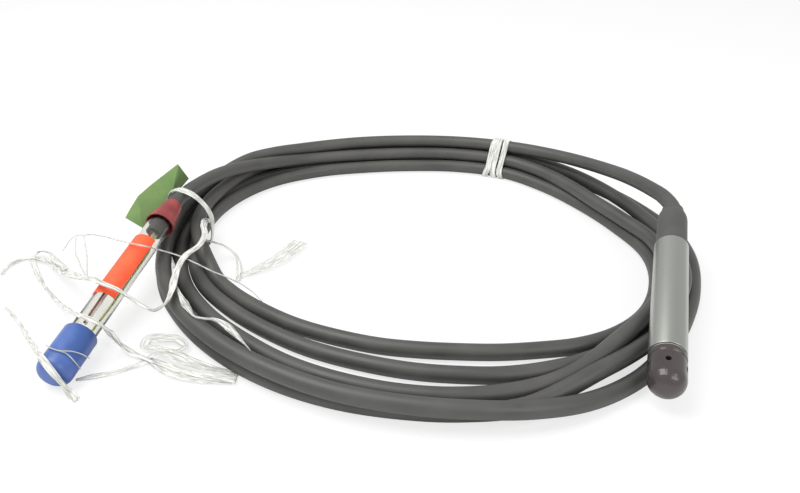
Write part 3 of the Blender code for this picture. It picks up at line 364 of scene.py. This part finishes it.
def clean(made, sharp=35.0):
    """Merge doubled points, face outwards and keep edges sharper than an angle crisp."""
    bm = bmesh.new()
    bm.from_mesh(made.data)
    bmesh.ops.remove_doubles(bm, verts=bm.verts, dist=1e-7)
    bmesh.ops.recalc_face_normals(bm, faces=bm.faces)
    bm.to_mesh(made.data)
    bm.free()
    made.data.shade_smooth()
    made.data.set_sharp_from_angle(angle=math.radians(sharp))


def rounded(corner_from, corner, corner_to, radius, steps=5):
    """Points of a quadratic curve that cuts a corner of an outline."""
    p0, p1, p2 = (np.array(p, dtype=float) for p in (corner_from, corner, corner_to))
    a = p1 + (p0 - p1) / np.linalg.norm(p0 - p1) * radius
    b = p1 + (p2 - p1) / np.linalg.norm(p2 - p1) * radius
    t = np.linspace(0.0, 1.0, steps)[:, None]
    return [tuple(row) for row in (1 - t)**2 * a + 2 * t * (1 - t) * p1 + t**2 * b]


def soft_outline(points, radii):
    """A closed outline whose corners are rounded by the given radii, zero for a sharp one."""
    out = []
    count = len(points)
    for i, (point, radius) in enumerate(zip(points, radii)):
        if radius <= 0:
            out.append(tuple(point))
        else:
            out += rounded(points[i - 1], point, points[(i + 1) % count], radius)
    return out


def tube_along(name, path, radius, start=(0, 0, 1), sides=20, cap=True):
    """A round tube carried along a path; radius may vary from point to point."""
    path = np.asarray(path, dtype=float)
    one, two = carried(path, start)
    turn = np.linspace(0.0, 2 * math.pi, sides, endpoint=False)
    radius = np.broadcast_to(np.asarray(radius, dtype=float), (len(path),))[:, None, None]
    ring = one[:, None, :] * np.cos(turn)[None, :, None] + two[:, None, :] * np.sin(turn)[None, :, None]
    made = grid_mesh(name, path[:, None, :] + radius * ring, closed_v=True, cap_ends=cap)
    clean(made, 60.0)
    return made


# Materials

def shader_of(name):
    made = bpy.data.materials.new(name)
    made.use_nodes = True
    tree = made.node_tree
    return made, tree, tree.nodes["Principled BSDF"]


def surface_group(name):
    """Node group: two colours mixed by noise at a given scale, with a bump of a finer noise at its own scale.
    """
    group = bpy.data.node_groups.new(name, "ShaderNodeTree")
    face = group.interface
    for label, kind in (("Vector", "NodeSocketVector"), ("Colour A", "NodeSocketColor"),
                        ("Colour B", "NodeSocketColor"), ("Scale", "NodeSocketFloat"),
                        ("Fine Scale", "NodeSocketFloat"), ("Bump", "NodeSocketFloat")):
        face.new_socket(label, in_out="INPUT", socket_type=kind)
    face.new_socket("Colour", in_out="OUTPUT", socket_type="NodeSocketColor")
    face.new_socket("Mask", in_out="OUTPUT", socket_type="NodeSocketFloat")
    face.new_socket("Normal", in_out="OUTPUT", socket_type="NodeSocketVector")
    nodes, links = group.nodes, group.links
    given = nodes.new("NodeGroupInput")
    result = nodes.new("NodeGroupOutput")
    broad = nodes.new("ShaderNodeTexNoise")
    broad.inputs["Detail"].default_value = 3.0
    fine = nodes.new("ShaderNodeTexNoise")
    fine.inputs["Detail"].default_value = 2.0
    mix = nodes.new("ShaderNodeMix")
    mix.data_type = "RGBA"
    bump = nodes.new("ShaderNodeBump")
    bump.inputs["Distance"].default_value = 0.0002
    ramp = nodes.new("ShaderNodeMapRange")
    ramp.inputs["From Min"].default_value = 0.35
    ramp.inputs["From Max"].default_value = 0.65
    links.new(given.outputs["Vector"], broad.inputs["Vector"])
    links.new(given.outputs["Vector"], fine.inputs["Vector"])
    links.new(given.outputs["Scale"], broad.inputs["Scale"])
    links.new(given.outputs["Fine Scale"], fine.inputs["Scale"])
    links.new(broad.outputs["Fac"], ramp.inputs["Value"])
    links.new(ramp.outputs["Result"], mix.inputs["Factor"])
    links.new(given.outputs["Colour A"], mix.inputs["A"])
    links.new(given.outputs["Colour B"], mix.inputs["B"])
    links.new(fine.outputs["Fac"], bump.inputs["Height"])
    links.new(given.outputs["Bump"], bump.inputs["Strength"])
    links.new(mix.outputs["Result"], result.inputs["Colour"])
    links.new(ramp.outputs["Result"], result.inputs["Mask"])
    links.new(bump.outputs["Normal"], result.inputs["Normal"])
    return group


SURFACE = surface_group("varied_surface")


def look(name, dark, light, roughness, scale=60.0, fine=900.0, bump=0.15, metallic=0.0, stretch=(1, 1, 1),
         vary=0.06, axis=None, **fixed):
    """A material whose colour, roughness and bump vary, stretched along its object's or an axis's own axes."""
    made, tree, shader = shader_of(name)
    nodes, links = tree.nodes, tree.links
    where = nodes.new("ShaderNodeTexCoord")
    turn = nodes.new("ShaderNodeMapping")
    turn.vector_type = "TEXTURE"
    if axis is not None:
        turn.inputs["Rotation"].default_value = Vector(axis).to_track_quat("Z", "Y").to_euler()
    squeeze = nodes.new("ShaderNodeVectorMath")
    squeeze.operation = "MULTIPLY"
    squeeze.inputs[1].default_value = stretch
    group = nodes.new("ShaderNodeGroup")
    group.node_tree = SURFACE
    group.inputs["Colour A"].default_value = (*dark, 1.0)
    group.inputs["Colour B"].default_value = (*light, 1.0)
    group.inputs["Scale"].default_value = scale
    group.inputs["Fine Scale"].default_value = fine
    group.inputs["Bump"].default_value = bump
    spread = nodes.new("ShaderNodeMapRange")
    spread.inputs["To Min"].default_value = roughness - vary
    spread.inputs["To Max"].default_value = roughness + vary
    links.new(where.outputs["Object"], turn.inputs["Vector"])
    links.new(turn.outputs["Vector"], squeeze.inputs[0])
    links.new(squeeze.outputs["Vector"], group.inputs["Vector"])
    links.new(group.outputs["Colour"], shader.inputs["Base Color"])
    links.new(group.outputs["Mask"], spread.inputs["Value"])
    links.new(spread.outputs["Result"], shader.inputs["Roughness"])
    links.new(group.outputs["Normal"], shader.inputs["Normal"])
    shader.inputs["Metallic"].default_value = metallic
    for key, value in fixed.items():
        shader.inputs[key.replace("_", " ")].default_value = value
    return made


JACKET = look("cable_jacket", (0.050, 0.050, 0.046), (0.068, 0.067, 0.061), 0.50, 45.0, 1500.0, 0.10)
STEEL = look("satin_steel", (0.34, 0.35, 0.325), (0.43, 0.44, 0.41), 0.38, 40.0, 500.0, 0.06, 1.0,
             (1.0, 1.0, 0.04), 0.05, PROBE_AXIS)
BRIGHT = look("bright_steel", (0.55, 0.52, 0.45), (0.68, 0.65, 0.58), 0.22, 80.0, 700.0, 0.05, 1.0)
BRASS = look("brass", (0.55, 0.42, 0.22), (0.70, 0.56, 0.32), 0.30, 80.0, 700.0, 0.05, 1.0)
GOLD = look("gold_plate", (0.75, 0.56, 0.24), (0.83, 0.65, 0.30), 0.28, 200.0, 900.0, 0.03, 1.0)
NOSE = look("gloss_black_plastic", (0.040, 0.033, 0.031), (0.058, 0.048, 0.045), 0.20, 50.0, 700.0, 0.05,
            vary=0.04)
GLAND = look("matt_black_plastic", (0.058, 0.060, 0.056), (0.074, 0.076, 0.071), 0.58, 60.0, 1600.0, 0.12)
RUBBER = look("seal_rubber", (0.016, 0.016, 0.016), (0.028, 0.028, 0.027), 0.68, 120.0, 1500.0, 0.15)
NYLON = look("natural_nylon", (0.66, 0.64, 0.56), (0.76, 0.74, 0.66), 0.48, 120.0, 900.0, 0.05)
BOARD = look("board_green", (0.02, 0.18, 0.07), (0.04, 0.25, 0.10), 0.42, 300.0, 1500.0, 0.10)
CHIP = look("chip_black", (0.022, 0.022, 0.022), (0.036, 0.036, 0.036), 0.50, 400.0, 2500.0, 0.10)
TAN = look("capacitor_tan", (0.48, 0.33, 0.17), (0.58, 0.41, 0.23), 0.50, 400.0, 2500.0, 0.05)
CERAMIC = look("arrester_ceramic", (0.74, 0.72, 0.66), (0.84, 0.82, 0.76), 0.36, 300.0, 2000.0, 0.05)
WIRE_RED = look("wire_red", (0.20, 0.045, 0.035), (0.30, 0.07, 0.05), 0.45, 200.0, 2000.0, 0.05)
WIRE_WHITE = look("wire_white", (0.70, 0.68, 0.62), (0.82, 0.80, 0.74), 0.45, 200.0, 2000.0, 0.05)
WIRE_YELLOW = look("wire_yellow_green", (0.52, 0.54, 0.17), (0.66, 0.67, 0.28), 0.45, 200.0, 2000.0, 0.05)
VENT = look("vent_nylon", (0.60, 0.58, 0.50), (0.76, 0.74, 0.66), 0.35, 200.0, 1500.0, 0.05)
RED_TAPE = look("red_tape", (0.19, 0.022, 0.024), (0.30, 0.040, 0.042), 0.42, 150.0, 900.0, 0.30)
ORANGE = look("orange_label", (0.90, 0.085, 0.026), (0.96, 0.115, 0.034), 0.62, 90.0, 1800.0, 0.10)
BLUE = look("blue_vinyl", (0.042, 0.095, 0.30), (0.066, 0.130, 0.38), 0.42, 70.0, 900.0, 0.10)
PAPER = look("green_tag_paper", (0.17, 0.30, 0.095), (0.25, 0.39, 0.14), 0.70, 60.0, 1500.0, 0.12)
CLEAR = look("clear_vinyl", (0.90, 0.90, 0.86), (0.95, 0.95, 0.92), 0.10, 60.0, 500.0, 0.03, vary=0.03,
             IOR=1.42, Transmission_Weight=1.0)


def twine_look(name, thin, thick):
    """Flat shiny fibres: streaks follow the strand's own run, and its alpha varies between thin and thick."""
    made, tree, shader = shader_of(name)
    nodes, links = tree.nodes, tree.links
    thread = nodes.new("ShaderNodeAttribute")
    thread.attribute_name = "thread"
    squeeze = nodes.new("ShaderNodeVectorMath")
    squeeze.operation = "MULTIPLY"
    squeeze.inputs[1].default_value = (2.6, 90.0, 1.0)
    group = nodes.new("ShaderNodeGroup")
    group.node_tree = SURFACE
    group.inputs["Colour A"].default_value = (0.42, 0.42, 0.39, 1.0)
    group.inputs["Colour B"].default_value = (0.84, 0.84, 0.80, 1.0)
    group.inputs["Scale"].default_value = 1.6
    group.inputs["Fine Scale"].default_value = 3.6
    group.inputs["Bump"].default_value = 0.7
    cover = nodes.new("ShaderNodeMapRange")
    cover.inputs["To Min"].default_value = thin
    cover.inputs["To Max"].default_value = thick
    links.new(thread.outputs["Vector"], squeeze.inputs[0])
    links.new(squeeze.outputs["Vector"], group.inputs["Vector"])
    links.new(group.outputs["Colour"], shader.inputs["Base Color"])
    links.new(group.outputs["Normal"], shader.inputs["Normal"])
    links.new(group.outputs["Mask"], cover.inputs["Value"])
    links.new(cover.outputs["Result"], shader.inputs["Alpha"])
    shader.inputs["Roughness"].default_value = 0.36
    return made


TWINE = twine_look("white_twine", 0.80, 1.0)
THIN_TWINE = twine_look("thin_twine", 0.35, 0.85)

CAD_LOOKS = {
    STEEL: ("isolating_diaphragm",),
    BRIGHT: ("joint_washer", "retaining_ring", "sensor_capsule", "sensor_header", "clamp_washer"),
    BRASS: ("gland_core",), GOLD: ("header_pin_1", "header_pin_2", "header_pin_3", "header_pin_4"),
    RUBBER: ("nose_o_ring", "capsule_o_ring", "rear_o_ring", "cable_grommet"),
    NYLON: ("front_spacer", "rear_spacer"), BOARD: ("circuit_board",),
    CHIP: ("amplifier_chip", "loop_driver_chip", "voltage_regulator"), TAN: ("filter_capacitor",),
    CERAMIC: ("surge_arrester",), WIRE_RED: ("signal_wire_red", "end_wire_red"),
    WIRE_WHITE: ("signal_wire_white", "end_wire_white"),
    WIRE_YELLOW: ("ground_wire_yellow", "end_wire_yellow"),
    VENT: ("vent_tube", "end_vent_tube"), JACKET: ("cable_entry",), NOSE: ("nose_cone",),
    ORANGE: ("orange_label",), PAPER: ("green_tag",)}


def dress_cad():
    """Better materials on the CAD nodes that stay."""
    for made, names in CAD_LOOKS.items():
        for name in names:
            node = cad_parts[name]
            node.data.materials.clear()
            node.data.materials.append(made)


def finished(made, material, body, slot, *nodes):
    """Gives a piece its material and body and hides the CAD nodes that it stands for; its slot is not used."""
    made.data.materials.clear()
    made.data.materials.append(material)
    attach(made, body)
    if nodes:
        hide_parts(*nodes)
    return made


# Cable

def on_probe(distance):
    return np.array(RIM + PROBE_AXIS * distance)


def on_end(distance):
    return np.array(END_START + END_AXIS * distance)


def cable_path():
    """The whole cable: straight out of the gland, the hand-wound turns, and straight into the free end."""
    turns = np.arange(LEAD_TURN[0][0], TAIL_START + TAIL_TURN, 2.0)
    radii, heights = winding(turns).T
    wound = wound_places(turns, radii, heights)
    first = np.array([on_probe(GLAND_END), on_probe(GLAND_END + GLAND_STRAIGHT)])
    ahead = (BAND_START - BAND_STRAIGHT, BAND_START, BAND_START / 2, 0.0, JACKET_END)
    last = np.array([on_end(s) for s in ahead])
    return np.vstack([first, wound, last])


def make_cable():
    """The cable's jacket from the gland to its cut end in the sleeve, and its centre line."""
    path = smooth_route(cable_path(), CABLE_STEP)
    made = tube_along("cable", path, CABLE_R, sides=CABLE_SIDES)
    finished(made, JACKET, ROOT, "cable_jacket", "cable_lead", "cable_coil", "cable_tail", "jacket_end")
    return made, path


# Probe

def make_probe():
    """The steel tube with its two wide bores, and the gland's cap with its rounded shoulder and collar."""
    end = TUBE_LENGTH
    step = end - GLAND_SOCKET
    tube = lathe("housing_tube_finish", soft_outline(
        [(TUBE_R, 0.0), (TUBE_R, end), (TUBE_SOCKET_R, end), (TUBE_SOCKET_R, step), (TUBE_BORE_R, step),
         (TUBE_BORE_R, NOSE_SOCKET), (TUBE_SOCKET_R, NOSE_SOCKET), (TUBE_SOCKET_R, 0.0)],
        [TUBE_EDGE, TUBE_EDGE, 0, 0, 0, 0, 0, 0]), PROBE, TUBE_SIDES)
    finished(tube, STEEL, ROOT, "brushed_steel", "housing_tube")
    clear = CABLE_R + GAP
    inside = CORE_NECK_R + GAP
    shoulder = GLAND_END - COLLAR_LENGTH
    slope = [(GLAND_R - inwards, shoulder - back) for inwards, back in GLAND_SHOULDER]
    cap = lathe("gland_cap_finish", soft_outline(
        [(inside, GLAND_START), (GLAND_R, GLAND_START)] + slope + [
            (COLLAR_R, shoulder), (COLLAR_R, GLAND_END), (clear, GLAND_END), (clear, GLAND_STOP),
            (inside, GLAND_STOP)],
        [0, 0.0002, 0.0008, 0.0006, 0.0006, 0.0006, 0.0003, 0.0002, 0.0006, 0.0002, 0, 0]), PROBE)
    finished(cap, GLAND, ROOT, "gland_plastic", "gland_cap")


# Free end

def make_free_end():
    """The taped band with its flared mouth, the clear sleeve and the hollow cap over its end."""
    bore = SLEEVE_R - SLEEVE_WALL
    neck = CABLE_R + GAP
    over = SLEEVE_R + GAP
    step = SLEEVE_START - GAP
    band = lathe("red_tape_finish", [
        (neck, BAND_START), (neck + BAND_WALL, BAND_START), (over + BAND_WALL, step),
        (over + BAND_FLARE + BAND_WALL, BAND_END), (over + BAND_FLARE, BAND_END), (over, SLEEVE_START + GAP),
        (over - BAND_STEP, step - BAND_WALL), (neck, BAND_START + BAND_NECK)], END)
    finished(band, RED_TAPE, ROOT, "red_tape", "red_tape_band")
    sleeve = lathe("clear_sleeve_finish", soft_outline(
        [(bore, SLEEVE_START), (SLEEVE_R, SLEEVE_START), (SLEEVE_R, SLEEVE_END), (bore, SLEEVE_END)],
        [SLEEVE_EDGE] * 4), END)
    finished(sleeve, CLEAR, ROOT, "clear_vinyl", "clear_sleeve")
    inside = SLEEVE_R + GAP
    outside = inside + CAP_WALL
    bend = np.radians(np.linspace(90, 0, 9))
    corner = [(outside - CAP_ROUND * (1 - math.sin(a)), CAP_END - CAP_ROUND * (1 - math.cos(a))) for a in bend]
    inner = CAP_ROUND - CAP_WALL
    floor = CAP_END - CAP_WALL
    hollow = [(inside - inner * (1 - math.sin(a)), floor - inner * (1 - math.cos(a))) for a in bend[::-1]]
    cap = lathe("blue_cap_finish", [(inside, CAP_START), (outside - 0.0002, CAP_START),
                                    (outside, CAP_START + 0.0004)] + corner + [
        (0.0, CAP_END), (0.0, floor)] + hollow, END)
    finished(cap, BLUE, "cap", "blue_vinyl", "blue_cap")
    return band, sleeve, cap


# Twine

def ribbon(name, path, width, facing, twists=STRAIGHT, thick=0.0007, pleats=2.5, closed=False):
    """A pleated flat strand carried along a path.

    With p once round its section, a point lies width / 2 cos p across and thick / 2 sin p + fold sin(pleats
    pi cos p + wave) over, where wave grows along the strand.  p runs backwards, so that the faces point
    outwards.  Its flat side faces a direction turned by the twists, rows of (share of the length, degrees).
    The width may be rows of (share of the length, width).
    """
    path = np.asarray(path, dtype=float)
    if closed:
        tangent = unit(np.roll(path, -1, axis=0) - np.roll(path, 1, axis=0))
        run = np.concatenate([[0.0], np.cumsum(np.linalg.norm(np.diff(path, axis=0), axis=1))])
    else:
        tangent, run = along(path)
    share = run / run[-1]
    if not np.isscalar(width):
        width = np.interp(share, *np.transpose(width))[:, None, None]
    face = np.broadcast_to(np.asarray(facing, dtype=float), path.shape)
    normal = unit(face - tangent * np.sum(face * tangent, axis=1, keepdims=True))
    side = np.cross(tangent, normal)
    turn = np.radians(np.interp(share, *np.transpose(twists)))[:, None]
    flat = normal * np.cos(turn) + side * np.sin(turn)
    broad = side * np.cos(turn) - normal * np.sin(turn)
    p = np.linspace(0.0, -2 * math.pi, RIBBON_SIDES, endpoint=False)
    waves = max(1, round(run[-1] / RIBBON_WAVE))
    wave = 2 * math.pi * waves * share[:, None]
    fold = RIBBON_FOLD * thick * np.sin(pleats * math.pi * np.cos(p) + wave)
    across = width / 2 * np.cos(p)[None, :, None]
    over = (thick / 2 * np.sin(p)[None, :] + fold)[..., None]
    points = path[:, None] + broad[:, None] * across + flat[:, None] * over
    made = grid_mesh(name, points, closed_u=closed, closed_v=True, cap_ends=not closed)
    thread = np.zeros((len(path), len(p), 3), dtype=np.float32)
    thread[..., 0] = np.cos(p)
    thread[..., 1] = run[:, None]
    thread[..., 2] = len(name) + path[0, 0] * 100
    layer = made.data.attributes.new("thread", "FLOAT_VECTOR", "POINT")
    layer.data.foreach_set("vector", thread.ravel())
    return made


def even(path, outward, count):
    """A closed path and its outward directions at evenly spaced places."""
    ring = np.vstack([path, path[:1]])
    run = np.concatenate([[0.0], np.cumsum(np.linalg.norm(np.diff(ring, axis=0), axis=1))])
    at = np.linspace(0.0, run[-1], count, endpoint=False)
    out = np.vstack([outward, outward[:1]])
    pick = [np.column_stack([np.interp(at, run, rows[:, i]) for i in range(3)]) for rows in (ring, out)]
    return pick[0], unit(pick[1])


def wrap(name, angle, slant, width, lift):
    """Twine drawn once round the bundle: in each direction it touches the cable that reaches farthest."""
    way = np.linspace(0.0, 2 * math.pi, 720, endpoint=False)
    at = angle + slant * np.sin(way)
    lanes = np.stack([winding(at + 360 * k) for k in range(6)], axis=1)
    lanes = lanes[:, [k for k in range(6) if angle + 360 * k <= TAIL_START]]
    out = np.column_stack([np.cos(way), np.sin(way)])
    farthest = np.argmax(np.sum(lanes * out[:, None], axis=2), axis=1)
    places = lanes[np.arange(len(way)), farthest] + out * (CABLE_R + lift)
    heights = np.maximum(places[:, 1], TIE_FLOOR)
    turn = np.radians(at + COIL_ZERO)
    outward = np.column_stack([out[:, 0] * np.cos(turn), out[:, 0] * np.sin(turn), out[:, 1]])
    path, facing = even(wound_places(at, places[:, 0], heights), outward, 150)
    return ribbon(name, path, width, facing, closed=True)


def strand(name, route, width, twists=STRAIGHT, thick=0.0007, facing=(0, 0, 1), step=RIBBON_STEP):
    """A ribbon through given places in millimetres, and the path that it follows."""
    path = smooth_route(np.array(route) * MM, step)
    return ribbon(name, path, width, facing, twists, thick), path


def make_ties():
    """The three turns at the far side and the two flat layers by the free end."""
    made = []
    for i, (angle, slant) in enumerate(zip(TIE_ANGLES, TIE_SLANTS)):
        name = "far_tie_%d" % (i + 1)
        tie = wrap(name + "_finish", angle, slant, TWINE_WIDTH, TIE_LIFT + TIE_LIFT_STEP * i)
        made.append(finished(tie, TWINE, ROOT, "white_twine", name))
    rows = np.array(LEFT_TIE + LEFT_TIE[:1])
    run = np.arange(len(rows))
    fine = smooth_through(np.column_stack([run, rows]), np.linspace(0, len(rows) - 1, 400, endpoint=False))
    outward = unit(fine[:, 1:] - np.array(LEFT_TIE_MIDDLE))
    for i, (name, lift, shift, width) in enumerate(LEFT_TIE_LAYERS):
        spread = lift * np.clip(fine[:, 2] / LEFT_TIE_SPREAD_BY, 0.0, 1.0)[:, None]
        places = (fine[:, 1:] + outward * spread) * MM
        at = fine[:, 0] + shift
        turn = np.radians(at + COIL_ZERO)
        facing = np.column_stack([outward[:, 0] * np.cos(turn), outward[:, 0] * np.sin(turn), outward[:, 1]])
        path, facing = even(wound_places(at, places[:, 0], places[:, 1]), facing, 160)
        tie = ribbon(name, path, width, facing, closed=True)
        made.append(finished(tie, TWINE, ROOT, "white_twine", *(["left_tie"] if i == 0 else [])))
    return made


def make_twine():
    """The two loose ends of the left tie, each with the thin strands that go with it."""
    long_end, long_path = strand(
        "twine_long_end", LONG_TAIL,
        ((0, 0.0044), (0.2, 0.0036), (0.35, 0.0044), (0.5, 0.0036), (0.62, 0.0042), (0.75, 0.0044),
         (0.86, 0.0030), (1, 0.0018)),
        ((0, -60), (0.10, -20), (0.3, 10), (0.42, 50), (0.5, 20), (0.7, -20), (1, 0)), 0.0010)
    finished(long_end, TWINE, ROOT, "white_twine", "left_tie_long_end")
    floor_end, floor_path = strand(
        "twine_floor_end", FLOOR_TAIL,
        ((0, 0.0040), (0.35, 0.0044), (0.5, 0.0030), (0.7, 0.0026), (1, 0.0020)),
        ((0, 0), (0.4, 25), (0.6, 0), (1, 30)), 0.0010)
    finished(floor_end, TWINE, ROOT, "white_twine", "left_tie_floor_end")
    by_long = [
        strand("twine_long_thread", LONG_THREAD, ((0, 0.0007), (0.3, 0.0012), (0.6, 0.0009), (1, 0.0005)),
               thick=0.0005)[0],
        strand("twine_short_thread_left", SHORT_THREAD_LEFT, 0.0010, thick=0.0004)[0],
        strand("twine_short_thread_right", SHORT_THREAD_RIGHT, 0.0010, thick=0.0004)[0],
        strand("twine_upper_leaf", UPPER_LEAF, ((0, 0.0002), (0.3, 0.0022), (0.7, 0.0020), (1, 0.0004)))[0],
        strand("twine_lower_leaf", LOWER_LEAF,
               ((0, 0.0006), (0.22, 0.0040), (0.42, 0.0006), (0.5, 0.0034), (0.7, 0.0040), (0.85, 0.0016),
                (1, 0.0003)), ((0, 40), (0.3, 10), (0.45, -30), (0.7, 0), (1, 20)))[0],
        strand("twine_far_fold", FAR_FOLD, ((0, 0.0034), (0.3, 0.0050), (0.6, 0.0044), (1, 0.0028)),
               ((0, 0), (0.4, 50), (0.6, 20), (1, 0)))[0]]
    by_tie = [
        strand("twine_inner_loop", INNER_LOOP, ((0, 0.0036), (0.6, 0.0034), (1, 0.0040)),
               ((0, 0), (0.5, -40), (1, 0)))[0],
        strand("twine_frayed_fan", FRAYED_FAN, ((0, 0.0040), (0.4, 0.0085), (1, 0.0110)))[0]]
    by_floor = [
        strand("twine_floor_strip", FLOOR_STRIP, ((0, 0.0030), (0.3, 0.0036), (0.8, 0.0042), (1, 0.0012)))[0],
        strand("twine_bunch_back", BUNCH_BACK, ((0, 0.0030), (0.3, 0.0048), (0.6, 0.0052), (1, 0.0030)),
               ((0, 0), (0.3, 30), (0.5, -20), (0.7, 40), (1, 0)))[0],
        strand("twine_bunch_middle", BUNCH_MIDDLE, ((0, 0.0024), (0.4, 0.0056), (1, 0.0030)),
               ((0, 0), (0.4, 25), (1, 0)))[0],
        strand("twine_bunch_front", BUNCH_FRONT, ((0, 0.0030), (0.4, 0.0062), (1, 0.0030)))[0]]
    for piece in by_long + by_tie + by_floor:
        finished(piece, THIN_TWINE, ROOT, "white_twine")
    over = [
        strand("twine_over_cap", OVER_CAP, ((0, 0.0018), (0.3, 0.0026), (0.6, 0.0026), (1, 0.0044)),
               facing=OVER_CAP_FACING)[0],
        strand("twine_cap_thread", CAP_THREAD, 0.0005, thick=0.0003, step=THREAD_STEP, facing=CAP_FACING)[0],
        strand("twine_cap_branch", CAP_BRANCH, 0.0005, thick=0.0003, step=THREAD_STEP, facing=CAP_FACING)[0]]
    for piece in over:
        finished(piece, TWINE, "cap", "white_twine")


# Stage

def make_floor():
    """A pale floor that catches shadows and looks nearly white to the camera."""
    half = FLOOR_HALF
    corners = np.array([[(-half, -half, 0), (half, -half, 0)], [(-half, half, 0), (half, half, 0)]])
    floor = grid_mesh("floor", corners - np.array((0, 0, FLOOR_DROP)), shade=False)
    made, tree, shader = shader_of("pale_floor")
    nodes, links = tree.nodes, tree.links
    shader.inputs["Base Color"].default_value = (0.86, 0.86, 0.86, 1.0)
    shader.inputs["Roughness"].default_value = 0.9
    glow = nodes.new("ShaderNodeEmission")
    seen = nodes.new("ShaderNodeLightPath")
    straight = nodes.new("ShaderNodeMath")
    straight.operation = "MAXIMUM"
    share = nodes.new("ShaderNodeMath")
    share.operation = "MULTIPLY"
    share.inputs[1].default_value = FLOOR_GLOW
    mix = nodes.new("ShaderNodeMixShader")
    links.new(seen.outputs["Is Camera Ray"], straight.inputs[0])
    links.new(seen.outputs["Is Transmission Ray"], straight.inputs[1])
    links.new(straight.outputs["Value"], share.inputs[0])
    links.new(share.outputs["Value"], mix.inputs["Fac"])
    links.new(shader.outputs["BSDF"], mix.inputs[1])
    links.new(glow.outputs["Emission"], mix.inputs[2])
    links.new(mix.outputs["Shader"], nodes["Material Output"].inputs["Surface"])
    floor.data.materials.append(made)


def make_lights(scene):
    world = bpy.data.worlds.new("plain_sky")
    scene.world = world
    world.use_nodes = True
    back = world.node_tree.nodes["Background"]
    back.inputs["Color"].default_value = (1.0, 1.0, 1.0, 1.0)
    back.inputs["Strength"].default_value = SKY_STRENGTH
    for name, at, size, power in LAMPS:
        lamp = bpy.data.lights.new(name, "AREA")
        lamp.shape = "SQUARE"
        lamp.size = size
        lamp.energy = power
        made = bpy.data.objects.new(name, lamp)
        made.location = at
        made.rotation_euler = (Vector(LAMPS_LOOK_AT) - Vector(at)).to_track_quat("-Z", "Y").to_euler()
        bpy.context.collection.objects.link(made)


def make_camera(scene):
    camera = bpy.data.cameras.new("camera")
    camera.lens = CAMERA_LENS
    camera.sensor_width = 36.0
    camera.clip_start = 0.01
    holder = bpy.data.objects.new("camera", camera)
    holder.location = CAMERA_AT
    holder.rotation_euler = [math.radians(a) for a in CAMERA_TURN]
    bpy.context.collection.objects.link(holder)
    scene.camera = holder
    scene.view_settings.view_transform = "Standard"


make_floor()
make_lights(bpy.context.scene)
make_camera(bpy.context.scene)
dress_cad()
cable, cable_line = make_cable()
make_probe()
band, sleeve, cap = make_free_end()
ties = make_ties()
make_twine()
